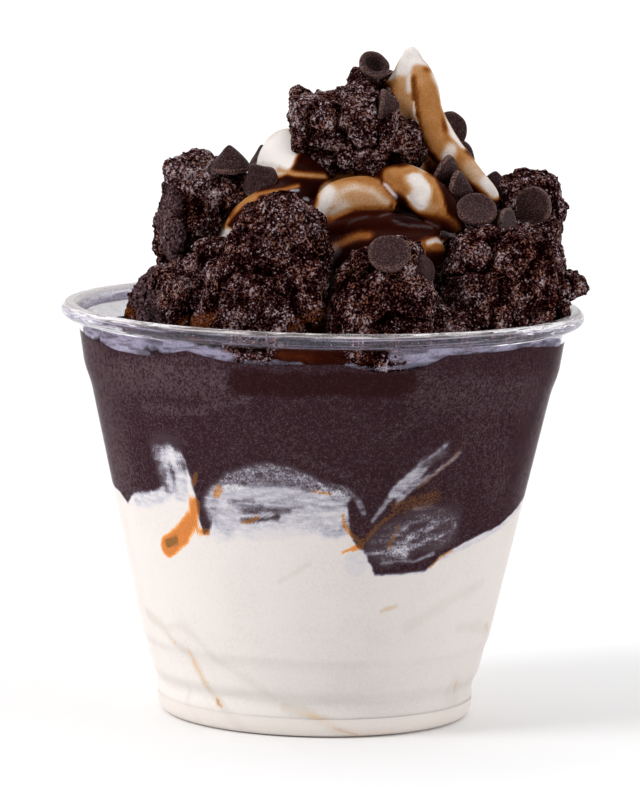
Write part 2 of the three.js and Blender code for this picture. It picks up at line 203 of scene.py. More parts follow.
def addNode(tree, kind, inputs, **settings):
    made = tree.nodes.new(kind)
    for name, value in settings.items():
        setattr(made, name, value)
    for name, value in inputs.items():
        fill(made, name, value)
    return made


def calculate(operation, *parts):   # sockets and numbers, taken from left to right
    total = parts[0]
    for part in parts[1:]:
        inputs = {0: total, 1: part}
        total = addNode(treeOf(*parts), "ShaderNodeMath", inputs, operation=operation).outputs[0]
    return total


def plus(*parts):
    return calculate("ADD", *parts)


def minus(*parts):
    return calculate("SUBTRACT", *parts)


def times(*parts):
    return calculate("MULTIPLY", *parts)


def addRange(value, low, high, toLow=0.0, toHigh=1.0):
    inputs = {"Value": value, "From Min": low, "From Max": high, "To Min": toLow, "To Max": toHigh}
    made = addNode(treeOf(value), "ShaderNodeMapRange", inputs, interpolation_type="SMOOTHSTEP")
    return made.outputs["Result"]


def addRamp(factor, stops):   # each stop is a place and a colour, or a place and a grey
    made = addNode(treeOf(factor), "ShaderNodeValToRGB", {0: factor})
    elements = made.color_ramp.elements
    while len(elements) < len(stops):
        elements.new(0.5)
    for element, (place, colour) in zip(elements, stops):
        element.position = place
        element.color = (*(colour if isinstance(colour, tuple) else (colour,) * 3), 1)
    return made.outputs[0]


def addMix(factor, first, second):
    inputs = {0: factor, 6: first, 7: second}
    return addNode(treeOf(factor, first), "ShaderNodeMix", inputs, data_type="RGBA").outputs[2]


def addAttribute(tree, name):
    return addNode(tree, "ShaderNodeAttribute", {}, attribute_name=name).outputs["Fac"]


def addBump(height, depth, strength=1.0):   # depth in millimetres
    inputs = {"Height": height, "Distance": depth * mm, "Strength": strength}
    return addNode(treeOf(height), "ShaderNodeBump", inputs).outputs["Normal"]


matte = {"Roughness": 0.5, "Specular IOR Level": 0.0}


def newMaterial(name, settings):
    material = bpy.data.materials.new(name)
    material.use_nodes = True
    tree = material.node_tree
    shader = tree.nodes["Principled BSDF"]
    for socket, value in settings.items():
        fill(shader, socket, value)
    place = addNode(tree, "ShaderNodeTexCoord", {}).outputs["Object"]
    return material, tree, shader, place


def makeFoodGrain():   # two patterns that every food here uses at its own size, in millimetres
    tree = bpy.data.node_groups.new("foodGrain", "ShaderNodeTree")
    for name, way, kind in (("Place", "INPUT", "Vector"), ("Size", "INPUT", "Float"),
                            ("Fine", "OUTPUT", "Float"), ("Cloud", "OUTPUT", "Float")):
        tree.interface.new_socket(name, in_out=way, socket_type="NodeSocket" + kind)
    given = tree.nodes.new("NodeGroupInput").outputs
    result = tree.nodes.new("NodeGroupOutput")
    scale = calculate("DIVIDE", 1 / mm, given["Size"])
    for name, size, detail in (("Fine", scale, 1.0), ("Cloud", calculate("DIVIDE", scale, 12.0), 3.0)):
        inputs = {"Vector": given["Place"], "Scale": size, "Detail": detail}
        fill(result, name, addNode(tree, "ShaderNodeTexNoise", inputs).outputs["Fac"])
    return tree


foodGrain = makeFoodGrain()


def grainOutputs(place, size):
    made = treeOf(place).nodes.new("ShaderNodeGroup")
    made.node_tree = foodGrain
    fill(made, "Place", place)
    fill(made, "Size", size)
    return made.outputs


def unevenGrain(place, size):   # the fine grain, about 0
    return minus(grainOutputs(place, size)["Fine"], 0.5)


# camera, floor and light

print("camera, floor and light")

view = {
    "place": (0, -978.055, 182.486),
    "aim": (-0.16, 0, 55.4),
    "roll": 1.219,        # degrees, the picture leans a little
    "lens": 251.8,
    "sensor": 36,
}
studio = {
    "floorWidth": 12000,
    "floorLook": {"Base Color": (0.97, 0.97, 0.975), "Roughness": 0.7, "Specular IOR Level": 0.2},
    "floorDepth": 0.03,   # below the cup's foot, so that the two faces don't share one plane
    "skyColour": (1, 0.995, 0.99),
    "zenith": 1.15,       # brightness straight above, level behind and beside, and behind the camera
    "horizon": 0.74,
    "front": 0.22,
    # from where, how wide in degrees, strength
    "suns": [((-0.85, -0.42, 0.72), 24, 1.28), ((0.95, -0.4, 0.45), 40, 0.5)],
}


def makeCamera():
    data = bpy.data.cameras.new("camera")
    data.sensor_width = view["sensor"]
    data.lens = view["lens"]
    data.clip_end = 100
    camera = bpy.data.objects.new("camera", data)
    bpy.context.scene.collection.objects.link(camera)
    place = Vector(view["place"]) * mm
    turn = (Vector(view["aim"]) * mm - place).to_track_quat("-Z", "Y").to_matrix().to_4x4()
    lean = Matrix.Rotation(math.radians(view["roll"]), 4, "Z")
    camera.matrix_world = Matrix.Translation(place) @ turn @ lean
    bpy.context.scene.camera = camera


def makeFloor():
    bm = bmesh.new()
    bmesh.ops.create_grid(bm, x_segments=4, y_segments=4, size=studio["floorWidth"] / 2)
    bmesh.ops.translate(bm, verts=bm.verts, vec=(0, 0, -studio["floorDepth"]))
    floor = objectFrom(bm, "floor")
    floor.data.materials.append(newMaterial("paleFloor", studio["floorLook"])[0])


def makeLight():
    world = bpy.data.worlds.new("studio")
    bpy.context.scene.world = world
    world.use_nodes = True
    tree = world.node_tree
    direction = addNode(tree, "ShaderNodeTexCoord", {}).outputs["Generated"]
    axes = addNode(tree, "ShaderNodeSeparateXYZ", {0: direction}).outputs
    height = addRange(axes["Z"], 0.0, 0.9, studio["horizon"], studio["zenith"])
    front = addRange(axes["Y"], -0.9, 0.1, studio["front"] / studio["horizon"], 1.0)
    fill(tree.nodes["Background"], "Color", studio["skyColour"])
    fill(tree.nodes["Background"], "Strength", times(height, front))
    for place, width, strength in studio["suns"]:
        data = bpy.data.lights.new("sun", "SUN")
        data.angle = math.radians(width)
        data.energy = strength
        lamp = bpy.data.objects.new("sun", data)
        bpy.context.scene.collection.objects.link(lamp)
        lamp.rotation_euler = Vector(place).to_track_quat("Z", "Y").to_euler()
        lamp.visible_glossy = False   # the photo's wall and syrup mirror no lamp
    bpy.context.scene.view_settings.view_transform = "Standard"


makeCamera()
makeFloor()
makeLight()


# the cup

print("cup")

cup = {
    # (height, radius)
    "outside": [(0, 26), (0.3, 26.7), (0.7, 27.3), (1.4, 27.65), (2.2, 27.85), (6.1, 27.85), (8, 28.9),
                (12.8, 30.05), (14, 30.65), (58, 40.5), (61.5, 41.8), (69.7, 43.1)],
    # (radius, height)
    "rim": [(45.1, 69.8), (46, 70.6), (46, 71.5), (45.2, 72.4), (43.6, 72.4), (42.8, 71.6)],
    "wallRadius": 36,           # at the middle of its height
    "rimRadius": 46,
    "wall": 0.6,
    "floor": (1.2, 2.0),        # under and upper face of the bottom
    "insideFoot": [(25.95, 0), (27.25, 1.3)],   # (radius, height above the bottom)
    "insideFollows": 3,         # above this height the inside follows the outside
    "footRing": (24.2, 0.8),    # its inner radius, and how far it slopes in towards the bottom
    "cornerRadius": 1.2,
    "steps": 400,
    "reach": 0.3,               # how far the food goes into the wall, so that no air shows between
    "rimAbove": 69.4,           # the thick rolled rim
    "milkyBelow": 3.6,          # the foot ring takes on the colour of the food in it
    # painted light: the foot ring is made lighter, against the shade where it faces down
    "footPaintedLight": 0.5,
    "wallLook": {"Base Color": (0.985, 0.988, 1.0), "Roughness": 0.0, "IOR": 1.02,
                 "Transmission Weight": 1.0},
    "rimLook": {"Base Color": (0.93, 0.905, 0.95), "Roughness": 0.06, "IOR": 1.29,
                "Transmission Weight": 1.0},
    "rimRelief": 0.4,           # depth, and the sizes of its streaks and waves
    "rimGrains": (0.9, 0.5),
    "shadow": (0.96, 0.965, 0.975),   # light that goes through it
}

wallHeights = np.array([height for height, radius in cup["outside"]], float)
wallRadii = np.array([radius for height, radius in cup["outside"]], float)


def insideRadius(height):
    return np.interp(height, wallHeights, wallRadii) - cup["wall"]


def rounded(outline, reach, count=4):   # each corner becomes a small curve
    smooth = [outline[0]]
    for before, corner, after in zip(outline[:-2], outline[1:-1], outline[2:]):
        before, corner, after = (np.array(point, float) for point in (before, corner, after))
        start = corner + (before - corner) * min(0.45, reach / np.linalg.norm(before - corner))
        end = corner + (after - corner) * min(0.45, reach / np.linalg.norm(after - corner))
        for t in np.linspace(0, 1, count):
            smooth.append(tuple((1 - t) ** 2 * start + 2 * t * (1 - t) * corner + t ** 2 * end))
    return smooth + [outline[-1]]


def addRoundTheAxis(place, squeeze=0.2):   # way round, radius and height: streaks run round the cup
    axes = addNode(treeOf(place), "ShaderNodeSeparateXYZ", {0: place}).outputs
    angle = calculate("ARCTAN2", axes["X"], axes["Y"])
    square = plus(times(axes["X"], axes["X"]), times(axes["Y"], axes["Y"]))
    radius = calculate("SQRT", square, 0.0)
    inputs = {"X": times(angle, cup["wallRadius"] * squeeze * mm), "Y": radius, "Z": axes["Z"]}
    return addNode(treeOf(place), "ShaderNodeCombineXYZ", inputs).outputs[0]


def makeClearPlastic(name, look, relief=0):
    material, tree, shader, place = newMaterial(name, look)
    if relief:
        wayRound = addRoundTheAxis(place)
        streaks, waves = (grainOutputs(wayRound, size) for size in cup["rimGrains"])
        fill(shader, "Normal", addBump(plus(streaks["Fine"], waves["Cloud"]), relief))
    shadow = addNode(tree, "ShaderNodeLightPath", {}).outputs["Is Shadow Ray"]
    through = addNode(tree, "ShaderNodeBsdfTransparent", {"Color": cup["shadow"]}).outputs[0]
    mixed = addNode(tree, "ShaderNodeMixShader", {0: shadow, 1: shader.outputs[0], 2: through})
    fill(tree.nodes["Material Output"], "Surface", mixed.outputs[0])
    return material


def makeCup():
    under, upper = cup["floor"]
    outside = [(radius, height) for height, radius in cup["outside"]]
    inside = [(radius, upper + height) for radius, height in cup["insideFoot"]]
    above = [point for point in outside if point[1] > cup["insideFollows"]]
    inside += [(radius - cup["wall"], height) for radius, height in above]
    ring, slope = cup["footRing"]
    outline = [(0, under), (ring - slope, under), (ring, 0)] + outside + cup["rim"] + inside[::-1]
    outline = rounded(outline + [(0, upper)], cup["cornerRadius"])
    made = objectFrom(spunFrom(outline, cup["steps"]), "cup_shell")
    finished(made, makeClearPlastic("clearWall", cup["wallLook"]), ["cup"])
    made.data.materials.append(makeClearPlastic("clearRim", cup["rimLook"], cup["rimRelief"]))
    made.data.materials.append(makeLayerCream("milkyFoot", cup["footPaintedLight"]))
    paintWall(made.data)
    for face in made.data.polygons:
        if face.center.z > cup["rimAbove"] * mm:
            face.material_index = 1
        elif face.center.z < cup["milkyBelow"] * mm:
            face.material_index = 2


# vanilla and chocolate in the cup

print("layers")

layers = {
    "steps": 520,
    "crowding": 0.62,           # the steps are closer together in front, where the wall shows most
    "vanillaRows": (84, 1.6),   # rows at the wall, and how they crowd towards the boundary
    "chocolateRows": (78, 1.5),
    "bottomRows": [(0, 0), (0.93, 0), (0.985, 0.1)],   # (share of the radius, height above the bottom)
    "wallStarts": 0.3,          # above the bottom
    "middleRows": (0, 0.4, 0.8),   # shares of the radius, where the two lie on one another
    "sharpAngle": 40,
    "uneven": [(0.35, 2.2, 5), (0.18, 0.8, 6)],   # depth, width and seed
    "level": 40.5,              # of the boundary between them, and how it swells and drips
    # (angle, height, half width)
    "swells": [(-41, 8, 3.6), (-33.5, -6.5, 2.9), (-67, -2, 2.5), (-10, 8.5, 13), (20, -12.5, 10.5),
               (38, -6, 12), (62, -4, 14), (128, 4, 20), (172, -5, 22), (-130, 3.5, 18)],
    "middle": 40,
    "chocolateMiddle": 65.2,
    # (angle, height) of the chocolate at the wall
    "topEdge": [(-180, 66.2), (-120, 67), (-95, 67.3), (-78.5, 67.25), (-73, 66.75), (-65, 67),
                (-58, 66.25), (-45, 66.25), (-39, 67), (-33, 68), (-29.5, 67.5), (-23, 66.75),
                (-16.5, 66.5), (-4.5, 66.75), (4, 67), (7, 66.5), (13.5, 65.5), (23, 66), (26.5, 67),
                (30.5, 68.25), (51, 68.25), (55.5, 68.5), (78, 66.9), (120, 66.6), (180, 66.2)],
    # the chocolate's open top, from the wall inwards: shares of the radius
    "topRows": (0.985, 0.965, 0.94, 0.91, 0.88, 0.84, 0.8, 0.75, 0.7, 0.64, 0.58, 0.5, 0.3, 0),
    "topLumps": [(1.1, 6, 3), (0.4, 2.2, 4)],
    "topDip": 0.9,
    "topRadius": 40,
}
# what shows through the wall, each line as (angle, height) points
marks = {
    "boundaryEdge": (0.4, 0.6),   # softness and roughness
    "roughness": {"caramels": 0.4, "veins": 1.0, "specks": 1.0, "dustLines": 1.0},
    "boundary": [(-180, 38.6), (-170, 38.9), (-160, 40), (-150, 41.6), (-140, 42.9), (-130, 43.3),
                 (-120, 42.6), (-110, 41.3), (-100, 40.6), (-92, 40.5), (-74, 40), (-68, 38.3),
                 (-64, 40.2), (-56, 40.3), (-50, 42), (-46.5, 43), (-44.5, 45.5), (-43, 48.5),
                 (-40.5, 50), (-38, 49.4), (-36, 46), (-35.2, 42), (-34.6, 37.5), (-33.8, 35.6),
                 (-31.6, 36.2), (-30, 39), (-28.8, 43), (-26, 45.5), (-20, 47.6), (-16, 48.6),
                 (-9.5, 48.6), (-4, 47.6), (1, 45.6), (5.5, 43.8), (7, 40), (8.5, 37.2), (12, 34),
                 (15.5, 31.5), (17, 29.6), (22.5, 29.6), (33, 29.9), (38, 32.4), (45, 33.9), (54, 35.2),
                 (64, 36.4), (79, 38.9), (90, 40.2), (100, 41.4), (110, 42.7), (120, 43.8), (129, 44.1),
                 (138, 43.2), (147, 41.2), (156, 38.9), (164, 37.6), (172, 37.7), (180, 38.6)],
    "clouds": [   # cocoa there, half width, softness, points
        (0.17, 0.7, 1.3, [(-61, 39.6), (-54, 40), (-49, 41.2), (-45.5, 42.2), (-41, 43.4)]),
        (0.10, 1.2, 1.3, [(-29, 36.2), (-22, 37), (-12, 37.6), (0, 38.4), (6, 38.8)]),
        (0.14, 0.3, 0.5, [(38, 31.8), (45, 33.3), (54, 34.6), (64, 35.8), (79, 38.3)]),
        (0.34, 3.4, 2.2, [(-26, 40.5), (-20, 42), (-12, 42.8), (-3, 42.4), (4, 41)]),
        (0.60, 1.3, 1.6, [(-24, 45), (-16, 47), (-9, 47.2), (-3, 45.6)]),
        (0.22, 0.9, 1.4, [(-27, 38), (-14, 39), (-2, 39.8), (5, 39.8)]),
        (0.24, 0.7, 1.0, [(-27.4, 39.4), (-27, 42), (-25, 43.6), (-19, 43.7), (-8, 44), (2, 43.2)]),
        (0.7, 0.3, 0.8, [(-20.6, 40.5), (-14.9, 40.9), (-8, 40.9)]),
        (0.5, 0.2, 0.6, [(-24.5, 42), (-18, 42.1)]),
        (0.8, 0.2, 0.6, [(-21.3, 38.9), (-16, 39), (-11.3, 39.8)]),
        (1.0, 1.0, 0.8, [(9.6, 42), (10.2, 39.8), (11.2, 37.9), (13, 36.2)]),
        (0.62, 0.25, 0.5, [(3, 45.8), (7.5, 45), (10.5, 43), (12.4, 40.6)]),
        (0.90, 0.4, 2.4, [(-46.5, 50.5), (-43.5, 51.4), (-40, 51.2)]),
        (0.62, 0.7, 2.0, [(-46.4, 49), (-45.6, 46), (-44.6, 43.6)]),
        (0.27, 1.9, 1.2, [(-41.2, 43.6), (-40.6, 46), (-41.4, 47.8), (-42.4, 48.2)]),
        (0.16, 0.6, 1.2, [(-41.6, 48.6), (-42.6, 48)]),
        (0.18, 0.7, 1.2, [(-39.6, 42.6), (-39.4, 45)]),
        (0.62, 0.25, 0.6, [(-42.9, 47), (-42, 45.6), (-42, 43.9)]),
        (0.66, 0.25, 0.6, [(-37.8, 48.2), (-37.6, 46.6)]),
        (0.66, 0.2, 0.5, [(-39.6, 47.4), (-38.4, 47.8)]),
        (0.46, 0.4, 0.6, [(15, 39.4), (18.5, 42.6), (21.5, 45.2)]),
        (0.38, 0.75, 0.7, [(20.4, 44.2), (24.5, 47), (28, 48.8)]),
        (0.46, 0.4, 0.5, [(27, 49), (30.5, 50.8), (33.6, 52.3)]),
        (0.50, 0.25, 0.5, [(21.3, 42.6), (25.6, 45.2), (31.2, 47.4), (34.9, 49), (38.4, 50.8)]),
        (0.68, 0.5, 0.8, [(29, 49.2), (33, 50.8)]),
        (0.76, 2.6, 2.6, [(20, 35), (28, 37), (37, 37.4)]),
        (0.48, 0.16, 0.6, [(14, 33.5), (20, 33.4), (24.6, 33.3), (28, 34.4), (32.1, 35.4),
                           (37.7, 36.1)]),
        (0.52, 0.14, 0.5, [(24.6, 33.3), (24.7, 35.1), (26.5, 36.5), (29.5, 37)]),
        (0.56, 0.14, 0.5, [(27.5, 36.5), (33.3, 38.9), (39, 39), (42.1, 37.3)]),
        (0.58, 0.14, 0.5, [(21.4, 36.4), (27, 38.6), (33.1, 39.9)]),
        (0.56, 0.14, 0.5, [(18.3, 31.6), (23.3, 32.1), (28.7, 31.7), (35.2, 32.9)]),
        (0.34, 0.5, 0.9, [(22.4, 33.5), (25.6, 33.8)]),
        (0.72, 0.2, 0.8, [(27, 41), (31, 41.4), (36, 40.4)]),
        (0.52, 0.14, 0.5, [(18.6, 33.4), (23.6, 35.2), (29.6, 36.4), (35.6, 38.6)]),
        (0.92, 0.3, 0.7, [(26.4, 38), (30.5, 38.1)]),
        (0.10, 2.0, 0.9, [(11, 32)]),
        (0.17, 0.7, 1.3, [(104, 41.4), (116, 42.8), (128, 43.2), (138, 42.2)]),
        (0.45, 0.5, 1.0, [(112, 45), (121, 47.6), (131, 49.4)]),
        (0.5, 0.8, 1.6, [(-128, 44.6), (-138, 45.4), (-147, 44)]),
        (0.7, 0.4, 1.0, [(-118, 38), (-127, 39.4), (-136, 39.6)]),
        (0.2, 0.8, 1.3, [(-168, 38), (-155, 39.6), (-143, 41)]),
    ],
    "caramels": [   # amount, half width, softness, points
        (1.1, 0.7, 0.9, [(-35.8, 40.8), (-36.2, 39.6), (-38, 37.6)]),
        (1.1, 1.1, 1.0, [(-37.6, 37.8), (-41, 35.6), (-44, 34)]),
        (1.1, 1.3, 1.1, [(-42, 34.9), (-46, 33.2), (-49, 32.2)]),
        (1.8, 0.5, 0.9, [(-48.6, 32.9), (-44.6, 33.7)]),
        (0.9, 0.35, 0.5, [(-35.6, 35.9), (-32.4, 36)]),
        (0.8, 0.15, 0.8, [(-34.2, 46.2), (-35.2, 44.4)]),
        (0.55, 0.3, 1.1, [(-27.6, 43.9), (-28.4, 42.9)]),
        (0.65, 0.1, 0.8, [(-21, 38.4), (-19, 38.7), (-16.6, 39.4)]),
        (0.55, 0.1, 0.4, [(-1.5, 44.6), (3, 44.1)]),
        (0.6, 0.15, 0.5, [(6.6, 40.4), (7.1, 38.7), (9, 37), (11.6, 35.7)]),
        (0.8, 0.1, 0.4, [(7.1, 33.7), (10.1, 34.6), (12.7, 35.3)]),
        (0.8, 0.35, 0.5, [(10, 34.4), (12, 34.9)]),
        (0.5, 0.15, 0.9, [(11.4, 34.8), (14, 36.6), (17.1, 38.8), (20.7, 40.5)]),
        (0.42, 0.7, 1.8, [(21.4, 41.6), (26.2, 42.4), (32.8, 43.2)]),
        (0.42, 0.12, 0.8, [(20.3, 34.6), (21.4, 36.4), (22.6, 38.1)]),
        (0.45, 0.1, 0.5, [(27, 45), (31, 47), (36, 49.4), (39.5, 52.3)]),
        (0.5, 0.15, 0.5, [(34.6, 30.4), (38, 32.2), (42, 33.2)]),
        (1.1, 0.9, 1.0, [(148, 40), (151, 37.6), (155, 35.8)]),
        (1.1, 1.1, 1.1, [(154, 36), (158, 34.6)]),
        (0.6, 0.4, 0.8, [(-122, 41.8), (-128, 42.6)]),
        (0.5, 0.2, 0.5, [(108, 39), (118, 40), (126, 42)]),
    ],
    # grey lines in the vanilla, tan where they are strong
    "veins": [   # strength, half width, softness, points
        (0.5, 0.6, 0.8, [(-70.7, 18.8), (-59.8, 17.1), (-54.1, 14.8), (-46.5, 13), (-42.1, 8.5),
                         (-38.8, 6), (-33.5, 3.6), (-27.4, 1.2)]),
        (0.35, 0.3, 0.8, [(-56.2, 17), (-48.3, 18.3), (-43.5, 17), (-40, 15.2), (-35.5, 13),
                          (-27.1, 10.9), (-20.3, 9.1), (-14, 6.5)]),
        (0.3, 0.25, 0.6, [(-51.7, 6.1), (-54, 4.2), (-50.4, 2.5), (-46, 1.1)]),
        (0.6, 0.5, 1.0, [(-11.3, 5.4), (-4.4, 4.7), (2.5, 3.2), (9.5, 1.5), (17, 0.4), (29.5, 0.4)]),
        (0.45, 0.12, 0.4, [(-11.1, 28.3), (-6.6, 29.8), (-2.2, 31.7)]),
        (0.3, 0.4, 1.2, [(52, 18.5), (64.5, 18), (78, 15.8)]),
        (0.3, 1.4, 2.0, [(58, 7), (62.5, 5.8)]),
        (0.25, 0.3, 1.4, [(30, 20), (45, 24), (60, 26)]),
        (0.5, 0.5, 0.8, [(110, 18), (122, 15), (133, 14), (143, 9), (150, 4)]),
        (0.4, 0.3, 0.8, [(-100, 20), (-115, 16), (-126, 17), (-140, 12), (-155, 8)]),
        (0.85, 0.35, 0.5, [(-46.8, 13.7), (-44.7, 11.1), (-42.8, 9.2), (-40.6, 7.6)]),
        (0.9, 0.3, 0.4, [(-55.2, 15.1), (-53, 14.6)]),
        (1.0, 0.45, 0.4, [(-38, 5.2), (-36, 4.4)]),
        (0.85, 0.2, 0.6, [(-2, 4.3), (4, 2.9), (10, 1.5)]),
        (1.0, 0.3, 0.4, [(7, 2), (11, 1.3), (16, 0.6)]),
        (0.8, 0.15, 0.5, [(20, 23), (25, 23.8)]),
        (0.8, 0.3, 0.6, [(62, 6), (60, 7.6)]),
        (0.8, 0.2, 0.5, [(72, 17.6), (78, 16)]),
    ],
    # where white and dark crumbs mix
    "specks": [   # amount, half width, softness, points
        (1.0, 1.1, 1.2, [(-24, 45.8), (-16, 47.8), (-9, 48), (-2, 46.4), (6, 45)]),
        (0.9, 1.4, 1.6, [(-46.5, 50), (-43.5, 51.4), (-40, 51)]),
        (1.0, 2.6, 2.2, [(21, 35), (29, 37), (37, 37)]),
        (0.5, 0.6, 1.0, [(-60, 40.4), (-50, 41.8), (-45, 43)]),
        (0.8, 1.2, 1.4, [(-126, 44.6), (-138, 45.6), (-148, 44)]),
    ],
    "syrupBand": (1.5, 1.2, [(-19, 63.4), (-8, 63.3), (8, 63.4), (20, 63.6)]),
    # faint dust in the chocolate, and painted reflection: two wide lighter bands towards the cup's sides
    "dustLines": [   # amount, half width, softness, points
        # painted reflection: the wide lighter bands where the wall turns away at the two sides
        (0.75, 6, 14, [(-84, 64), (-80, 46)]),
        (0.6, 3, 7, [(84, 64), (80, 42)]),
        (0.55, 1.5, 3.5, [(-66, 61), (-44, 63), (-27, 63)]),
        (0.4, 1.5, 4, [(26, 62), (48, 60), (62, 60)]),
        (0.5, 0.35, 0.9, [(-49.5, 57), (-42, 57), (-33.5, 57.25), (-26, 58.5), (-18.5, 60.25)]),
        (0.3, 2.2, 3.0, [(-62, 60), (-48, 62), (-30, 64.6)]),
        (0.35, 0.4, 0.8, [(18, 54), (24, 57), (29, 60)]),
        (0.25, 2.0, 3.0, [(40, 58), (52, 50), (56, 44)]),
        (0.3, 0.3, 0.8, [(-6, 50.6), (2, 48.4), (8, 47)]),
        (0.4, 1.2, 3.0, [(110, 60), (135, 62), (160, 61)]),
        (0.4, 1.0, 3.0, [(-105, 61), (-130, 62), (-160, 60)]),
        (0.35, 0.4, 1.0, [(-115, 55), (-135, 57), (-150, 60)]),
    ],
}
millimetresPerDegree = 0.66   # round the wall, at the middle of its height
cream = {
    "grains": (0.3, 0.7),       # sizes of the fine and the medium grain
    "wisp": (0.3, 0.75),        # how far wisps are drawn out round the cup, and their size
    "broad": 0.9,
    # how much the grains and wisps break up the colours
    "edge": {"fine": 2.0, "medium": 1.1, "wisp": 2.6, "everywhere": 0.7, "specks": 1.1},
    "crumbs": {"fine": 2.6, "medium": 1.2},
    "dustAndSheenParts": {"broad": 0.5, "lines": 1.6},
    "amounts": {"dust": 0.75, "cloud": 0.25, "cloudCrumbs": 0.5, "veins": 0.8, "syrup": 0.75,
                "grain": 0.8},
    # by how much cocoa there is
    "colours": [(0.0, (0.755, 0.70, 0.66)), (0.12, (0.65, 0.62, 0.635)), (0.3, (0.44, 0.42, 0.475)),
                (0.5, (0.22, 0.20, 0.235)), (0.72, (0.088, 0.064, 0.074)),
                (1.0, (0.031, 0.0135, 0.0175))],
    # the colour of the dust, and of the painted reflection at the sides
    "dust": (0.112, 0.076, 0.084),
    "cloud": (0.66, 0.595, 0.565),
    "veins": [(0.45, (0.56, 0.50, 0.45)), (0.8, (0.68, 0.46, 0.24)), (1.0, (0.42, 0.20, 0.08))],
    "syrup": (0.022, 0.006, 0.005),
    "caramel": [(0.2, (0.80, 0.42, 0.17)), (0.36, (0.78, 0.34, 0.11)), (0.5, (0.62, 0.21, 0.055)),
                (0.64, (0.56, 0.18, 0.05)), (0.8, (0.26, 0.12, 0.04))],
    "deepCaramel": (0.085, 0.032, 0.016),   # over cocoa, as much as the next line says
    "deepening": [(0.0, 0), (0.5, 0.7), (1.0, 0.92)],
    "bump": (0.4, 0.3),         # depth and strength
    # the colour of the painted light on the foot ring
    "paintedLightColour": (0.98, 0.90, 0.85),
}


def swellAt(angle):
    height = np.full(angle.shape, float(layers["level"]))
    for centre, swell, width in layers["swells"]:
        away = np.mod(angle - centre + 540, 360) - 180
        height += swell * np.exp(-((away / width) ** 2))
    return height


def topEdgeAt(angle):
    angles, heights = zip(*layers["topEdge"])
    return np.interp(angle, angles, heights)


def unrolled(path):   # (angle, height) points on the wall, laid flat
    return [(angle * millimetresPerDegree, height) for angle, height in path]


def paintWall(mesh):   # what shows through the clear wall
    places = placesOf(mesh)
    angle = np.degrees(np.arctan2(places[:, 0], -places[:, 1]))
    height = places[:, 2]
    uneven = sumOfSwells(places, layers["uneven"])
    flat = np.stack([angle * millimetresPerDegree, height], 1)
    side = np.sign(height - np.interp(angle, *zip(*marks["boundary"])))
    edge = strokeDistance(flat, unrolled(marks["boundary"]))
    soft, rough = marks["boundaryEdge"]
    cocoa = smoothstep(-soft, soft, side * edge + rough * uneven)

    def weightOf(width, soft, path, rough=1.0):
        return strokeWeight(flat, unrolled(path), width, soft, uneven * min(1, width + soft) * rough)

    for value, *stroke in marks["clouds"]:
        cocoa = cocoa + (value - cocoa) * weightOf(*stroke) ** 1.5
    paint(mesh, "cocoa", cocoa)
    for name, rough in marks["roughness"].items():
        weights = [amount * weightOf(*stroke, rough) for amount, *stroke in marks[name]]
        paint(mesh, name, np.maximum.reduce(weights))
    paint(mesh, "syrupBand", weightOf(*marks["syrupBand"]))


def makeLayerCream(name, paintedLight=0.0):   # painted light: how much lighter the colour is made, against the shade where the foot faces down
    material, tree, shader, place = newMaterial(name, matte)
    fine, medium = (unevenGrain(place, size) for size in cream["grains"])
    drawn, wispSize = cream["wisp"]
    wisp = unevenGrain(addRoundTheAxis(place, drawn), wispSize)
    broad = grainOutputs(place, cream["broad"])["Cloud"]
    cocoa, specks, veins = (addAttribute(tree, mark) for mark in ("cocoa", "specks", "veins"))
    amounts = cream["amounts"]

    # where cocoa and cream meet they break up into crumbs and wisps
    edge = cream["edge"]
    speckle = times(plus(times(fine, edge["fine"]), times(medium, edge["medium"])),
                    plus(times(specks, edge["specks"]), edge["everywhere"]))
    meeting = times(cocoa, minus(1.0, cocoa))
    cocoa = plus(cocoa, times(plus(speckle, times(wisp, edge["wisp"])), meeting))
    colour = addRamp(cocoa, cream["colours"])

    # dust in the chocolate, with painted reflection in its wide bands at the sides, clouds in the vanilla
    crumbs = plus(times(fine, cream["crumbs"]["fine"]), times(medium, cream["crumbs"]["medium"]))
    lines = times(addAttribute(tree, "dustLines"), plus(medium, 0.5))
    parts = cream["dustAndSheenParts"]
    dust = plus(crumbs, times(broad, parts["broad"]), times(lines, parts["lines"]))
    dust = times(addRange(dust, 0.0, 1.4, 0.0, amounts["dust"]), addRange(cocoa, 0.8, 1.0))
    colour = addMix(dust, colour, cream["dust"])
    cloud = addRange(broad, 0.4, 0.65, 0.0, amounts["cloud"])
    cloud = plus(cloud, times(crumbs, amounts["cloudCrumbs"]))
    colour = addMix(times(cloud, addRange(cocoa, 0.0, 0.2, 1.0, 0.0)), colour, cream["cloud"])

    # what lies against the wall
    colour = addMix(times(veins, amounts["veins"]), colour, addRamp(veins, cream["veins"]))
    colour = addMix(times(addAttribute(tree, "syrupBand"), amounts["syrup"]), colour, cream["syrup"])
    caramel = plus(addAttribute(tree, "caramels"), times(fine, amounts["grain"]), times(medium, specks))
    bright = addRamp(times(caramel, 0.5), cream["caramel"])
    over = addMix(addRamp(cocoa, cream["deepening"]), bright, cream["deepCaramel"])
    colour = addMix(addRange(caramel, 0.25, 0.6), colour, over)
    # painted light, against the shade on the foot ring
    if paintedLight:
        colour = addMix(paintedLight, colour, cream["paintedLightColour"])
    fill(shader, "Base Color", colour)
    fill(shader, "Normal", addBump(broad, *cream["bump"]))
    return material


def makeLayer(name, rows, node):   # each row, from the bottom up, gives share of radius and height
    made, turn, order = drumOf(name, len(rows), layers["steps"], closed=True)
    turn = turn - layers["crowding"] * np.sin(turn)
    angle = np.degrees(turn)
    places = np.empty((len(turn), 3))
    for number, row in enumerate(rows):
        at = np.rint(order) == number
        share, height = row(angle[at])
        places[at] = aroundAxis(turn[at], share * (insideRadius(height) + cup["reach"]), height)
    moveTo(made.data, places)
    paintWall(made.data)
    finished(made, makeLayerCream(name + "Cream"), [node])
    made.data.set_sharp_from_angle(angle=math.radians(layers["sharpAngle"]))


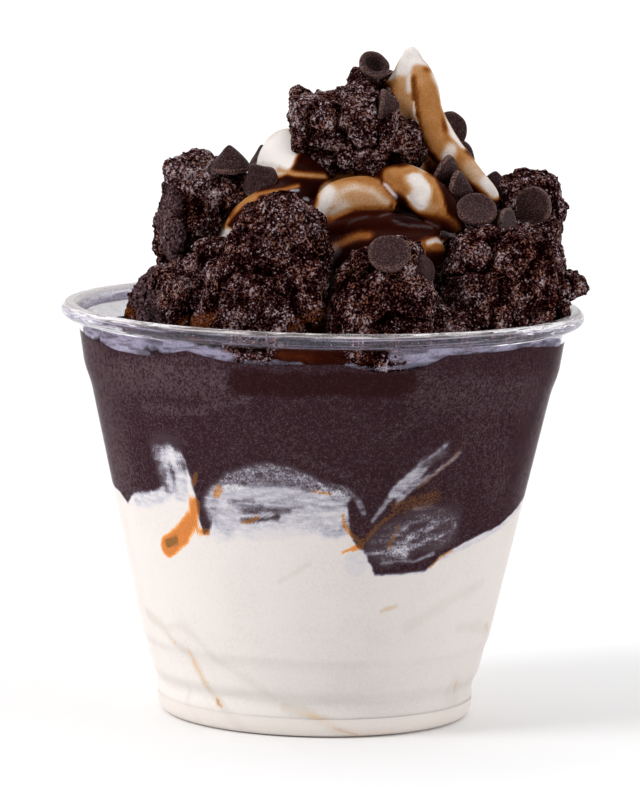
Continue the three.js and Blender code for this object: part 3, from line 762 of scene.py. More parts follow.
def makeVanilla():
    low = cup["floor"][1]
    start = low + layers["wallStarts"]
    count, crowding = layers["vanillaRows"]
    rows = [lambda angle, share=share, up=up: (share, low + up) for share, up in layers["bottomRows"]]
    for share in 1 - np.linspace(1, 0, count) ** crowding:
        rows.append(lambda angle, share=share: (1, start + share * (swellAt(angle) - start)))
    for share in layers["middleRows"][::-1]:
        rows.append(lambda angle, share=share: (share, layers["middle"] - 1))
    makeLayer("vanilla", rows, "vanilla_layer")


def chocolateTop(angle, share):
    turn = np.radians(angle)
    flat = layers["topRadius"] * share * np.stack([np.sin(turn), np.cos(turn), 0 * turn], 1)
    level = layers["chocolateMiddle"]
    level = level + (topEdgeAt(angle) - level) * smoothstep(0.4, 1, share)
    lumps = sumOfSwells(flat, layers["topLumps"]) - layers["topDip"]
    return share, level + lumps * smoothstep(1.0, 0.9, share)


def chocolateSide(angle, share):
    low = swellAt(angle)
    return 1, low + share * (topEdgeAt(angle) - low)


def makeChocolate():
    count, crowding = layers["chocolateRows"]
    rows = [lambda angle, share=share: (share, layers["middle"]) for share in layers["middleRows"]]
    for share in np.linspace(0, 1, count) ** crowding:
        rows.append(lambda angle, share=share: chocolateSide(angle, share))
    for share in layers["topRows"]:
        rows.append(lambda angle, share=share: chocolateTop(angle, share))
    makeLayer("chocolate", rows, "chocolate_layer")


makeCup()
makeVanilla()
makeChocolate()


# mist and smears inside the wall above the chocolate, and painted reflections: pale streaks of light in
# the rolled rim

frost = {
    "steps": 520,
    "rows": 26,
    "heights": (64.6, 70.3),
    "gap": 0.04,                # to the wall
    "uneven": [(0.5, 2.4, 41), (0.3, 0.9, 42)],
    # strength, half width, softness, (angle, height) points
    "smears": [
        (0.52, 0.8, 1.0, [(-77, 68.2), (-66, 68.8), (-52, 68.6), (-40, 69), (-32, 69)]),
        (0.5, 0.7, 0.9, [(-64, 67.4), (-55, 67.1), (-48, 67.2)]),
        (0.52, 0.6, 0.8, [(-40, 68), (-33, 68.4), (-27, 67.6), (-22, 67.3)]),
        (0.54, 0.9, 0.8, [(18, 68.4), (24, 68.9), (31, 69.2), (42, 69.2), (52, 69.2), (62, 69)]),
        (0.42, 0.6, 0.6, [(20, 67), (26, 67.6), (30, 68.2)]),
        (0.38, 0.22, 0.3, [(6, 66.6), (11, 66.3), (17, 66.4), (22, 66.8)]),
        (0.3, 0.15, 0.3, [(-18, 66.8), (-8, 66.9), (4, 67)]),
        (0.45, 0.8, 0.8, [(66, 68.5), (80, 68)]),
        (0.4, 0.7, 0.8, [(-60, 66.6), (-46, 66.4)]),
    ],
    "everywhere": (0.0, 0.5),      # in front, and behind where the bare wall shows
    "behind": (70, 100),
    "wisps": [(1, (3.4, 0.5), 43), (0.6, (1.2, 0.3), 44)],   # share, length and height, seed
    # how much of the frost stays between the wisps, and how much more in them
    "between": (0.35, 0.75),
    "betweenBehind": (0.6, -0.65),   # added to these behind
    "colour": (0.68, 0.625, 0.82),
}
# painted reflections: pale streaks of light along the rolled rim, paler all over at its sides
rimPaintedReflections = {
    "steps": 900,
    "rows": 44,
    # (radius, height) round the outside of the rolled rim, just under its skin
    "profile": [(43.3, 69.78), (45.05, 69.87), (45.92, 70.64), (45.92, 71.46), (45.16, 72.33),
                (43.65, 72.33), (42.87, 71.62)],
    # how far along the profile, half width, strength
    "lines": [(1.2, 0.5, 0.35), (2.1, 0.3, 0.6), (2.8, 0.14, 0.7), (3.3, 0.1, 0.35), (3.85, 0.16, 0.8),
              (4.45, 0.3, 0.9), (5.4, 0.35, 0.5), (6.4, 0.3, 0.7)],
    "wisps": (5, 0.22),         # length and height
    "drift": (0.35, (14, 1), 51),
    "sides": (45, 85),          # from these angles on the painted reflection is paler all over
    "pale": (0.1, 0.5),
    "colour": (0.49, 0.46, 0.60),
    # the painted reflection is lighter and warmer on top of the rim
    "upper": (0.76, 0.70, 0.65),
    "upperHeights": (71.3, 72.2),
}
film = {
    "grain": 0.45,
    "shade": 0.85,              # of the colour, where it is darker
    "thinning": (0.8, 1.1),     # share of its alpha, by the grain
}


def drawnSwells(turn, across, size, seed):   # unevenness drawn out round the cup
    length, height = size
    around = cup["rimRadius"] / length
    ring = np.stack([np.cos(turn) * around, np.sin(turn) * around, across / height], 1)
    return swells(ring, 1, seed)


def makePaleMaterial(name, colour, attribute, upper=None):   # upper: the colour on top of the rim, where the painted reflection is lighter and warmer
    material, tree, shader, place = newMaterial(name, matte)
    grain = grainOutputs(place, film["grain"])
    colour = addMix(grain["Cloud"], colour, tuple(film["shade"] * part for part in colour))
    if upper:
        low, high = rimPaintedReflections["upperHeights"]
        height = addNode(tree, "ShaderNodeSeparateXYZ", {0: place}).outputs["Z"]
        colour = addMix(addRange(height, low * mm, high * mm), colour, upper)
    fill(shader, "Base Color", colour)
    share = addRange(grain["Fine"], 0.3, 0.65, *film["thinning"])
    fill(shader, "Alpha", times(addAttribute(tree, attribute), share))
    return material


def makeFrost():
    low, high = frost["heights"]
    made, turn, row = drumOf("wall_mist", frost["rows"], frost["steps"])
    height = low + (high - low) * row / (frost["rows"] - 1)
    moveTo(made.data, aroundAxis(turn, insideRadius(height) - frost["gap"], height))
    places = placesOf(made.data)
    angle = np.degrees(turn)
    flat = np.stack([angle * millimetresPerDegree, height], 1)
    uneven = sumOfSwells(places, frost["uneven"])
    behind = smoothstep(*frost["behind"], np.abs(angle))
    front, back = frost["everywhere"]
    smears = [strength * strokeWeight(flat, unrolled(path), width, soft, uneven)
              for strength, width, soft, path in frost["smears"]]
    mist = np.maximum.reduce([front + (back - front) * behind, *smears])
    wisps = sum(share * drawnSwells(turn, height, size, seed) for share, size, seed in frost["wisps"])
    wisps = smoothstep(-0.7, 0.5, wisps)
    parts = (frost["between"], frost["betweenBehind"])
    share, behindShare = (least + more * wisps for least, more in parts)
    paint(made.data, "mist", mist * (share + behind * behindShare))
    finished(made, makePaleMaterial("wallMist", frost["colour"], "mist"))


def makeRimReflections():
    profile = np.array(rimPaintedReflections["profile"])
    lengths = np.concatenate([[0], np.cumsum(np.linalg.norm(np.diff(profile, axis=0), axis=1))])
    made, turn, row = drumOf("rim_painted_reflections", rimPaintedReflections["rows"], rimPaintedReflections["steps"])
    along = row / (rimPaintedReflections["rows"] - 1) * lengths[-1]
    radius, height = (np.interp(along, lengths, profile[:, axis]) for axis in range(2))
    moveTo(made.data, aroundAxis(turn, radius, height))
    far, size, seed = rimPaintedReflections["drift"]
    drift = far * drawnSwells(turn, 0 * along, size, seed)
    least, most = rimPaintedReflections["pale"]
    sides = smoothstep(*rimPaintedReflections["sides"], np.abs(np.degrees(turn)))
    pale = least + (most - least) * sides
    # each line is a painted reflection of a strip of light
    for middle, width, strength in rimPaintedReflections["lines"]:
        broken = smoothstep(-0.6, 0.3, drawnSwells(turn, along, rimPaintedReflections["wisps"], int(middle * 10)))
        line = strength * np.exp(-((along + drift - middle) / width) ** 2)
        pale = np.maximum(pale, line * broken)
    paint(made.data, "pale", pale)
    look = makePaleMaterial("rimPaintedReflections", rimPaintedReflections["colour"], "pale", rimPaintedReflections["upper"])
    finished(made, look)


makeFrost()
makeRimReflections()


# the soft-serve swirl with its syrup

print("swirl")


def coilPath(centre, radii, heights, turns, count):   # turns: degrees from the front, start and end
    path = []
    for share in np.linspace(0, 1, count):
        turn, radius, height = (low + (high - low) * share for low, high in (turns, radii, heights))
        turn = math.radians(turn)
        path.append((centre[0] + radius * math.sin(turn), centre[1] - radius * math.cos(turn), height))
    return path


swirl = {
    "base": [(0, 65.9), (27, 65.9), (32.5, 67.5), (33, 71), (29, 77), (22, 83), (12, 88), (0, 90)],
    "baseSteps": 64,
    "ropeSteps": (400, 24, 40),   # points along the path, then sides and rings of the ball
    "voxel": 0.5,
    "softening": 5,
    # path, widths, and how flat
    "ropes": [
        (coilPath((2, 0), (16, 13), (79, 84), (140, -210), 12),
         (7, 8.5, 8.5, 8, 7), 1),
        ([(5, 2, 82), (8, 1.5, 94), (11.5, 0.5, 104), (14, -0.6, 112), (14.6, -0.8, 118.4)],
         (15, 12, 7.5, 4.4, 1), 1),
        ([(-1, -12, 91), (-6, -5, 95), (-5.5, 3, 97), (2, 10, 97), (13, 11, 96), (21, 5, 96),
          (23, -3, 95)],
         (5, 5.6, 6, 5.6, 5, 4.6, 4), 1),
        ([(-2.4, -14.5, 88.8), (3, -16.5, 92), (8.5, -16.5, 92.5), (12, -15.6, 91.2)],
         (2, 4, 4.2, 3.2), 1),
        ([(9.5, -7.5, 93.5), (14, -12.6, 94.6), (18.6, -15.6, 92.4), (23.6, -18.6, 87.8)],
         (3.4, 4, 3.7, 1.4), 1),
        ([(-1, -18, 87.2), (6, -20.5, 88.4), (13, -20.5, 88.4), (20, -18.5, 87)],
         (1.4, 2.6, 2.8, 1.6), 0.7),
        ([(0.5, -19.5, 77), (3, -21.5, 82), (8, -22.5, 84), (15, -22, 84.3), (20.5, -19.5, 83.6)],
         (3, 3.8, 3.8, 3.5, 2.6), 1),
        ([(-15.8, -9, 83.4), (-12.6, -11.5, 87.8), (-8.5, -12.5, 90.6), (-2, -12, 91.5)],
         (3.2, 3.8, 3.8, 3.2), 1),
        ([(-6, 0, 95), (-6.4, 1, 99), (-3.8, 2, 101.4)],
         (4.8, 4.8, 3.4), 1),
        ([(29.8, -8, 91), (26.8, -7.8, 94.2), (23.6, -7, 97.4), (20.3, -6, 101.4), (17.4, -4.6, 106.6),
          (16.8, -3.4, 111), (14.8, -1.6, 116)],
         (1.9, 2.4, 2.8, 3, 3, 2.8, 1.6), 1),
        ([(22, -6, 73), (32, -6, 71), (39, -4.5, 70.8)],
         (6, 4.6, 2.6), 1),
        ([(-10, -39, 67.8), (-3, -40.3, 67.6), (4, -40.3, 67.6), (9, -39, 67.8)],
         (1.2, 1.7, 1.7, 1.2), 1),
    ],
    "syrupDepth": 0.3,
    "syrupByWall": (-30, 0.85),   # nearer the front than this it lies at the wall, all in syrup
    "betweenStrokes": 0.93,       # syrup in front where no stroke is
    "strokeEdge": (2.2, 1.5),     # each softness is raised to a power and scaled, for a long soft edge
    "uneven": [(0.5, 3, 11), (0.25, 1.2, 12)],
    "unevenEdge": 0.3,
    # the sides and back that the photo doesn't show: syrup in the hollows, cream on the ridges
    "unseen": {"middle": 0.52, "ridge": 0.55, "rounds": 40, "blotches": [(0.45, 6, 13), (0.25, 2.5, 14)]},
    # the strokes hold where it faces the front as much as this, and lies as far forward as this
    "facing": ((-0.15, 0.2), (4, -3)),
    "surface": [(0.25, 5, 9)],
    "sunk": 0.1,
    "look": {"Specular IOR Level": 0.02},
    "wobble": (0.16, 0.1),        # of the syrup's edge, by the grain and by the waves
    "bump": (0.15, 0.25),         # depth and strength
    "grains": (0.3, 1.6),         # sizes of the fine grain and the waves
    # by how much syrup there is
    "colours": [(0.0, (0.86, 0.80, 0.765)), (0.05, (0.76, 0.70, 0.67)), (0.14, (0.70, 0.60, 0.545)),
                (0.26, (0.54, 0.34, 0.20)), (0.38, (0.43, 0.19, 0.062)), (0.5, (0.27, 0.09, 0.018)),
                (0.64, (0.10, 0.022, 0.005)), (0.82, (0.028, 0.0036, 0.0012)),
                (1.0, (0.010, 0.0013, 0.0008))],
    "roughness": [(0.0, 0.5), (0.35, 0.36), (0.7, 0.24), (1.0, 0.2)],
    # the colour of the painted highlights on the syrup
    "paintedGlint": (0.62, 0.57, 0.63),
    # syrup there, from 0 for bare cream to 1 for thick syrup, half width, softness, points: (x, height)
    # as seen from the front; a few thin pale lines among them are painted highlights
    "syrup": [
        (0.87, 2.6, 0.8, [(-10.5, 63), (8, 62.6)]),
        (0.76, 0.3, 0.8, [(-9, 63.4), (-2, 62.8)]),
        (-0.06, 3.4, 0.6, [(-9, 98.6), (-7.8, 101.4)]),
        (0.92, 0.8, 0.5, [(-10, 93.7), (-1, 94)]),
        (0.12, 0.7, 0.6, [(-13, 95.9), (-10.9, 96.4), (-8.2, 95.8)]),
        (0.30, 0.2, 0.5, [(-8.2, 95.9), (-5.1, 95.2), (-0.3, 94.9)]),
        (0.40, 0.8, 0.5, [(-18.4, 85.8), (-16.5, 88.4), (-14.7, 90.2), (-12.8, 91.1)]),
        (0.44, 0.2, 0.4, [(-12.6, 91.4), (-10.5, 91.9), (-8.1, 92.4), (-4.8, 93.2)]),
        (0.95, 0.9, 0.6, [(-19.5, 87.5), (-17.5, 88.5), (-16.8, 90)]),
        (0.03, 0.9, 0.5, [(-19.4, 85), (-17.9, 84), (-16.9, 84.4)]),
        (0.92, 0.5, 0.4, [(0.5, 95.6), (4, 96.2), (9, 95.6)]),
        (0.33, 2.2, 0.4, [(1, 91.8), (4, 92), (9.6, 91.8)]),
        (0.43, 0.45, 0.6, [(1.5, 94.6), (4, 95), (7, 94.7), (10, 93.8), (11.9, 91.8), (12.4, 89.9)]),
        (0.50, 0.3, 0.4, [(12.3, 89.3), (10, 89.5), (7, 89.5), (5, 89.2), (3, 88.2), (0.8, 86.8)]),
        (0.22, 0.3, 0.5, [(2, 90.4), (3, 92.5), (5, 93.2), (8, 92.6), (10.8, 90.6)]),
        (0.07, 0.8, 0.7, [(-1, 87.6), (-0.3, 90), (0.5, 92.2)]),
        (0.18, 0.5, 0.8, [(1.2, 88.6), (3.2, 89.8)]),
        (0.95, 0.8, 0.5, [(10.8, 94.6), (12.5, 92.6), (14, 90.6), (17, 88.9), (19.5, 87.2)]),
        # painted highlight: a glossy reflection on the syrup
        (0.15, 0.2, 0.3, [(10.5, 93.9), (12, 92.2)]),
        (0.42, 1.3, 0.5, [(11.4, 95.2), (14, 94.4)]),
        (0.44, 1.6, 0.6, [(12.4, 94.6), (15.8, 92.6), (19.2, 89.4)]),
        (0.34, 1.0, 0.6, [(17.4, 89.8), (19.6, 88.8)]),
        (0.06, 1.2, 0.8, [(15.8, 95.4), (17.2, 93.2), (16.4, 91.2)]),
        (0.02, 0.5, 0.4, [(16.8, 90.2), (16.6, 91.4)]),
        (0.38, 0.4, 0.5, [(12, 96), (15, 96.8), (17.4, 96.7), (18.8, 94.8), (20.1, 92), (20.7, 89)]),
        # painted highlight: a thin bright line on the syrup
        (0.05, 0.15, 0.25, [(14.4, 91.6), (16.6, 89.9)]),
        (0.46, 0.7, 0.5, [(20.4, 88.6), (22.4, 87), (23.2, 86)]),
        (0.84, 1.2, 0.8, [(1.5, 85.4), (6, 87), (12, 87.4), (18, 86.6), (21, 86)]),
        (0.86, 1.4, 0.8, [(4, 85.6), (9, 86), (14, 85.2)]),
        (0.98, 0.5, 0.5, [(12.4, 87.9), (16.4, 87.6)]),
        (0.95, 0.8, 0.6, [(-1, 82), (0.4, 84.6)]),
        (0.46, 0.4, 0.5, [(0.3, 79.3), (1.0, 81.1), (2.1, 82.8)]),
        (0.52, 0.35, 0.6, [(3.1, 83.2), (4.6, 84.1), (6, 84.6), (7.8, 84.7)]),
        (0.52, 0.8, 0.6, [(14.6, 81.9), (16.3, 82.4), (18, 83.3), (20.6, 83.2)]),
        # painted highlight on the small fold
        (0.2, 0.25, 0.35, [(18.3, 83.6), (19.5, 84.1), (20.7, 83.7)]),
        (0.04, 2.6, 0.8, [(11.6, 114.8), (14.6, 117)]),
        (0.34, 1.5, 0.7, [(12.8, 111), (13.6, 108), (14.2, 103.4)]),
        (0.12, 0.3, 0.5, [(14.2, 113), (14.4, 110.4)]),
        (0.40, 1.6, 0.7, [(17.2, 112), (18, 107.5), (18.8, 103), (20.2, 100.4)]),
        (0.36, 0.6, 0.6, [(15.6, 114.1), (16.6, 112)]),
        (0.02, 0.5, 0.6, [(15.8, 116.8), (18.6, 114.6), (20, 111.4), (21, 107.4), (22.1, 103.2),
                          (23.8, 100.8)]),
        (0.62, 0.2, 0.4, [(15, 112.6), (15.5, 109), (15.7, 106.8), (16.5, 102.8), (16.3, 99.4)]),
        # painted highlight along the ridge
        (0.10, 0.12, 0.2, [(15.2, 108.2), (15.4, 106), (16.1, 104.4)]),
        (0.12, 0.2, 0.3, [(9, 104), (11.5, 105), (13, 104.8), (15, 103.7)]),
        (0.20, 0.45, 0.4, [(16.4, 101), (16.2, 99.5), (16.5, 98), (17, 96.8)]),
        (0.90, 0.8, 0.5, [(18.2, 98.6), (19, 96.6)]),
        (0.40, 1.2, 0.6, [(21.4, 100.2), (24, 98), (26.6, 95.8)]),
        (0.12, 0.7, 0.6, [(21.2, 98.8), (21.8, 100.2)]),
        (0.25, 1.3, 0.8, [(26, 96.6), (28, 94.8)]),
        (0.08, 0.9, 0.6, [(28.4, 94.4), (29.6, 92.8)]),
        (0.42, 1.3, 0.9, [(-5.2, 68.6), (-2.8, 69.9), (-0.3, 71.2)]),
        (0.52, 1.0, 1.2, [(-22.5, 68), (-20, 68.6)]),
        (0.10, 0.9, 0.8, [(36, 71.5), (43, 73.4)]),
    ],
    # painted highlights: pale glints and reflections on the wet syrup, painted into its colour: amount,
    # half width, softness, points as above
    "paintedGlints": [
        (0.75, 0.15, 0.3, [(10.6, 93.8), (11.5, 92.8), (12.3, 91.8)]),
        (0.95, 0.05, 0.25, [(14.8, 91.6), (15.8, 90.5), (17.2, 89.9)]),
        (0.07, 0.05, 0.25, [(9.7, 88), (11.5, 88.5), (13.2, 88.6), (15.6, 88.3), (17.9, 87.3),
                            (19.9, 86.3)]),
        (0.09, 0.05, 0.25, [(12.1, 87.3), (13.9, 86.7), (16.2, 86.5), (18.8, 86.3)]),
        (0.04, 0.05, 0.25, [(4.2, 86.7), (5.7, 87.3), (7.4, 87.8)]),
        (0.16, 0.6, 0.6, [(0.3, 79.3), (1, 81.1), (1.9, 82)]),
        (0.5, 0.2, 0.3, [(18.3, 83.7), (19.5, 84.1), (20.7, 83.8)]),
        (0.8, 0.05, 0.25, [(-5.9, 92.4), (-4.7, 92.4)]),
        (0.9, 0.1, 0.25, [(-11.3, 90.4), (-10.7, 90.3)]),
        (0.9, 0.1, 0.25, [(-3.7, 91), (-3.1, 90.8)]),
        (0.9, 0.1, 0.25, [(-19.3, 86.4), (-18.7, 86.1)]),
    ],
}


def seenFromFront(places):   # where each place shows on the upright plane through the axis
    eye = np.array(view["place"], float)
    share = -eye[1] / (places[:, 1] - eye[1])
    return np.stack([places[:, 0] * share, eye[2] + (places[:, 2] - eye[2]) * share], 1)


def ridgesOf(mesh, places, rounds):   # how far each vertex stands out from its smoothed surroundings
    ends = np.empty(len(mesh.edges) * 2, int)
    mesh.edges.foreach_get("vertices", ends)
    ends = ends.reshape(-1, 2)
    both = np.concatenate([ends, ends[:, ::-1]])
    near = np.bincount(both[:, 0], minlength=len(places))[:, None]
    smooth = places.copy()
    for _ in range(rounds):
        total = [np.bincount(both[:, 0], smooth[both[:, 1], axis], len(places)) for axis in range(3)]
        smooth = np.stack(total, 1) / near
    return ((places - smooth) * normalsOf(mesh)).sum(axis=1)


def curveThrough(points, count):   # a smooth curve through points, at even steps
    points = [np.array(point, float) for point in points]
    points = [2 * points[0] - points[1]] + points + [2 * points[-1] - points[-2]]
    dense = []
    for a, b, c, d in zip(points[:-3], points[1:-2], points[2:-1], points[3:]):
        for t in np.linspace(0, 1, 24, endpoint=False):
            dense.append(0.5 * (2 * b + (c - a) * t + (2 * a - 5 * b + 4 * c - d) * t ** 2
                                + (3 * b - a - 3 * c + d) * t ** 3))
    dense = np.array(dense + [points[-2]])
    lengths = np.concatenate([[0], np.cumsum(np.linalg.norm(np.diff(dense, axis=0), axis=1))])
    even = np.linspace(0, lengths[-1], count)
    return np.stack([np.interp(even, lengths, dense[:, axis]) for axis in range(3)], 1), lengths[-1]


def addRope(bm, path, widths, flat):   # a ball drawn out along a path, so both ends are round
    points, sides, rings = swirl["ropeSteps"]
    line, length = curveThrough(path, points)
    whole = line[-1] - line[0]
    upright = whole[2] / np.linalg.norm(whole) > 0.6
    level = Vector((0, 1, 0) if upright else (0, 0, 1))
    ball = bmesh.ops.create_uvsphere(bm, u_segments=sides, v_segments=rings, radius=1)["verts"]
    for vert in ball:
        share = math.acos(max(-1, min(1, vert.co.z))) / math.pi
        width = float(np.interp(share * (len(widths) - 1), range(len(widths)), widths))
        end = min(1, min(share, 1 - share) * length / width)
        width *= math.sqrt(max(0, 1 - (1 - end) ** 2)) / max(math.hypot(vert.co.x, vert.co.y), 1e-6)
        place = share * (len(line) - 1)
        low = min(int(place), len(line) - 2)
        centre = Vector(line[low] + (line[low + 1] - line[low]) * (place - low))
        along = Vector(line[low + 1] - line[low]).normalized()
        across = along.cross(level).normalized()
        rise = across.cross(along)
        vert.co = centre + across * (vert.co.x * width) + rise * (vert.co.y * width * flat)


def makeSyrupedCream():
    material, tree, shader, place = newMaterial("syrupedCream", swirl["look"])
    fine, wave = (unevenGrain(place, size) for size in swirl["grains"])
    byGrain, byWave = swirl["wobble"]
    syrup = plus(addAttribute(tree, "syrup"), times(wave, byWave), times(fine, byGrain))
    # painted highlights and reflections laid over the syrup's colour
    colour = addMix(addAttribute(tree, "paintedGlint"), addRamp(syrup, swirl["colours"]), swirl["paintedGlint"])
    fill(shader, "Base Color", colour)
    fill(shader, "Roughness", addRamp(syrup, swirl["roughness"]))
    fill(shader, "Normal", addBump(wave, *swirl["bump"]))
    return material


def makeSwirl():
    bm = spunFrom(swirl["base"], swirl["baseSteps"])
    for path, widths, flat in swirl["ropes"]:
        addRope(bm, path, widths, flat)
    made = remeshed(objectFrom(bm, "soft_serve"), swirl["voxel"], swirl["softening"])
    places = placesOf(made.data)
    out = normalsOf(made.data)
    uneven = sumOfSwells(places, swirl["uneven"])
    seen = seenFromFront(places)

    def weightOf(width, soft, path):
        scale, power = swirl["strokeEdge"]
        soft = scale * soft ** power
        rough = uneven * swirl["unevenEdge"] * min(1, width)
        return strokeWeight(seen, path, width - soft / 4, soft * 1.25, rough)

    front = np.full(len(places), swirl["betweenStrokes"])
    for value, *stroke in swirl["syrup"]:
        front = front + (value - front) * weightOf(*stroke)
    # where the painted highlights and reflections lie
    paintedGlint = np.maximum.reduce([amount * weightOf(*stroke) for amount, *stroke in swirl["paintedGlints"]])
    unseen = swirl["unseen"]
    ridge = ridgesOf(made.data, places, unseen["rounds"])
    around = unseen["middle"] - unseen["ridge"] * ridge + sumOfSwells(places, unseen["blotches"])
    wallPlace, wallSyrup = swirl["syrupByWall"]
    around = np.where(places[:, 1] < wallPlace, wallSyrup, np.clip(around, 0, 1))
    turned, forward = swirl["facing"]
    facing = smoothstep(*turned, -out[:, 1]) * smoothstep(*forward, places[:, 1])
    syrup = around + (front - around) * facing
    thick = sumOfSwells(places, swirl["surface"]) - swirl["sunk"] + swirl["syrupDepth"] * syrup
    moveTo(made.data, places + out * thick[:, None])
    paint(made.data, "syrup", syrup)
    paint(made.data, "paintedGlint", paintedGlint * facing)
    finished(made, makeSyrupedCream(), ["swirl"])


makeSwirl()


# brownie

print("brownie")

brownie = {
    "voxel": 0.34,
    "softening": 3,
    "swell": 0.2,            # closes the gap that the solids keep
    "wallGap": 0.15,         # to the inside of the cup's wall
    "bend": (0.7, 1.8),      # depth and width of each unevenness
    "crags": (1.5, 7),
    "clumps": (0.85, 3.6),
    "clumpShape": (0.42, 1.3),   # how high their tops are, and how steep their sides
    "lumps": (0.8, 1.7),
    "grain": (0.3, 0.7),
    # these are less craggy
    "small": ["brownie_crest", "brownie_left_crumb", "brownie_spike", "brownie_slab"],
    "smallShare": 0.6,
    "crumbs": 5000,
    "crumbSizes": (0.16, 0.5),
    "crumbStretch": (0.7, 0.6),   # least, and how much more at most
    # where the loose crumbs sit between the painted shade and the painted glints
    "crumbRelief": 0.56,
    "relief": (0.34, 0.14, 0.3, -0.3),   # how clumps, lumps, grain and cracks lighten the crumb: painted shade in the hollows and cracks, painted glints on the tops
    "cracks": (1.5, 6.5, 0.07),   # depth, how far apart, how narrow
    "crustEdge": (0.75, 1.5, 0.6),   # where it starts to fade, and how clumps and lumps break its edge
    "crustEvens": 0.7,               # how much of the unevenness is gone there
    "soakEdge": 0.8,
    # smooth baked crust there: middle, reach
    "crusts": [((-31, -8, 90.5), 6.5), ((-29.5, -11, 84), 6), ((-33, -12, 76.5), 5.5),
               ((-29.5, -18, 71.5), 5), ((36, -12, 83.5), 4.5), ((-8, -14, 110), 4.5)],
    # caramel has run into it there: amount, half width, softness, (x, height) as seen from the front
    "soaks": [(1, 0.5, 0.9, [(-35.6, 69.6), (-34.2, 70.3)]),
              (0.9, 0.5, 1.1, [(-24.5, 68.4), (-20, 69.1)]),
              (0.8, 0.5, 1, [(-5.2, 68.6), (-2.8, 69.9), (-0.3, 71.2)])],
    "look": {"Roughness": 0.8, "Specular IOR Level": 0.0},
    "patterns": (0.33, 0.62, 2.6),   # sizes of the grain, the crumb and the wide pattern
    "patternWeights": (1.9, 1.2, 1.05, 0.7),
    "bump": (0.2, 0.9),              # depth and strength
    "crustShare": 0.85,
    # painted shade and light: near black deep between the crumbs, lighter to their tops, the last stop
    # painted glints
    "colours": [(0.1, (0.0022, 0.0001, 0.0001)), (0.34, (0.011, 0.0014, 0.0012)),
                (0.51, (0.035, 0.0105, 0.0095)), (0.69, (0.076, 0.038, 0.040)),
                (0.82, (0.145, 0.104, 0.118)), (0.95, (0.46, 0.40, 0.44))],
    "toffee": (0.235, 0.075, 0.022),
    # it shows where the grain, the wide pattern and the height are above these
    "toffeeAbove": [(0.55, 0.62), (0.42, 0.56), (0.48, 0.8, 0, 0.75)],
    "crust": [(0.28, (0.014, 0.005, 0.005)), (0.5, (0.066, 0.035, 0.039)),
              (0.72, (0.125, 0.082, 0.092))],
    "soak": (0.19, 0.050, 0.010),
}


def makeBrownieCrumb():
    material, tree, shader, place = newMaterial("brownieCrumb", brownie["look"])
    grain, crumb, wide = (grainOutputs(place, size) for size in brownie["patterns"])
    fine = grain["Fine"]
    # painted shade and glints, by how high each place stands
    height = addAttribute(tree, "relief")
    patterns = (fine, crumb["Fine"], wide["Fine"], wide["Cloud"])
    for pattern, weight in zip(patterns, brownie["patternWeights"]):
        height = plus(height, times(minus(pattern, 0.5), weight))
    colour = addRamp(height, brownie["colours"])
    limits = zip((fine, wide["Fine"], height), brownie["toffeeAbove"])
    toffee = times(*(addRange(pattern, *limit) for pattern, limit in limits))
    colour = addMix(toffee, colour, brownie["toffee"])
    crust = addRamp(plus(crumb["Fine"], minus(fine, 0.5)), brownie["crust"])
    colour = addMix(times(addAttribute(tree, "crust"), brownie["crustShare"]), colour, crust)
    soaked = times(addAttribute(tree, "soak"), addRange(fine, 0.38, 0.6))
    fill(shader, "Base Color", addMix(soaked, colour, brownie["soak"]))
    fill(shader, "Normal", addBump(fine, *brownie["bump"]))
    return material


def makeChunk(node, material, seed):
    share = brownie["smallShare"] if node in brownie["small"] else 1.0
    bm = bmesh.new()
    bm.from_mesh(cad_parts[node].data)
    bmesh.ops.remove_doubles(bm, verts=bm.verts, dist=1e-6)
    bmesh.ops.scale(bm, vec=(1 / mm,) * 3, verts=bm.verts)
    made = objectFrom(bm, node.replace("brownie_", "chunk_"))
    made = remeshed(made, brownie["voxel"], brownie["softening"])
    places = placesOf(made.data)
    bend, crag, clump, lump, grain = (
        brownie[key] for key in ("bend", "crags", "clumps", "lumps", "grain"))
    bent = places + bend[0] * np.stack([swells(places, bend[1], seed + axis) for axis in (1, 2, 3)], 1)
    top, steep = brownie["clumpShape"]
    clumps = top - grains(bent, clump[1], seed + 6) ** steep
    lumps = 0.5 - grains(bent, lump[1], seed + 4)
    fine = 0.5 - grains(places, grain[1], seed + 5)
    away = crag[0] * swells(places, crag[1], seed) + clump[0] * clumps + lump[0] * lumps
    depth, apart, narrow = brownie["cracks"]
    cracks = np.exp(-(swells(bent, apart, seed + 8) / narrow) ** 2)
    away = share * away + grain[0] * fine - share * depth * cracks
    full, byClumps, byLumps = brownie["crustEdge"]
    rough = byClumps * clumps + byLumps * lumps
    crust = np.maximum.reduce([
        1 - smoothstep(full * reach, reach, np.linalg.norm(places - middle, axis=1) + rough)
        for middle, reach in brownie["crusts"]])
    soak = np.maximum.reduce([
        amount * strokeWeight(seenFromFront(places), path, width, soft, brownie["soakEdge"] * lumps)
        for amount, width, soft, path in brownie["soaks"]])
    away = away * (1 - brownie["crustEvens"] * crust) + brownie["swell"]
    places = places + normalsOf(made.data) * away[:, None]
    radius = np.hypot(places[:, 0], places[:, 1])
    inside = insideRadius(places[:, 2]) - brownie["wallGap"]
    room = np.where(places[:, 2] < cup["rimAbove"] + 2, inside, 99)
    places[:, :2] *= np.minimum(1, room / np.maximum(radius, 1))[:, None]   # the cup's wall holds it in
    moveTo(made.data, places)
    # painted shade: darker in hollows and cracks, lighter up to painted glints on the tops
    parts = zip(brownie["relief"], (clumps, lumps, fine, cracks))
    relief = 0.5 + sum(weight * part for weight, part in parts)
    paint(made.data, "relief", np.clip(relief, 0, 1))
    paint(made.data, "crust", crust)
    paint(made.data, "soak", soak)
    return finished(made, material, [node])


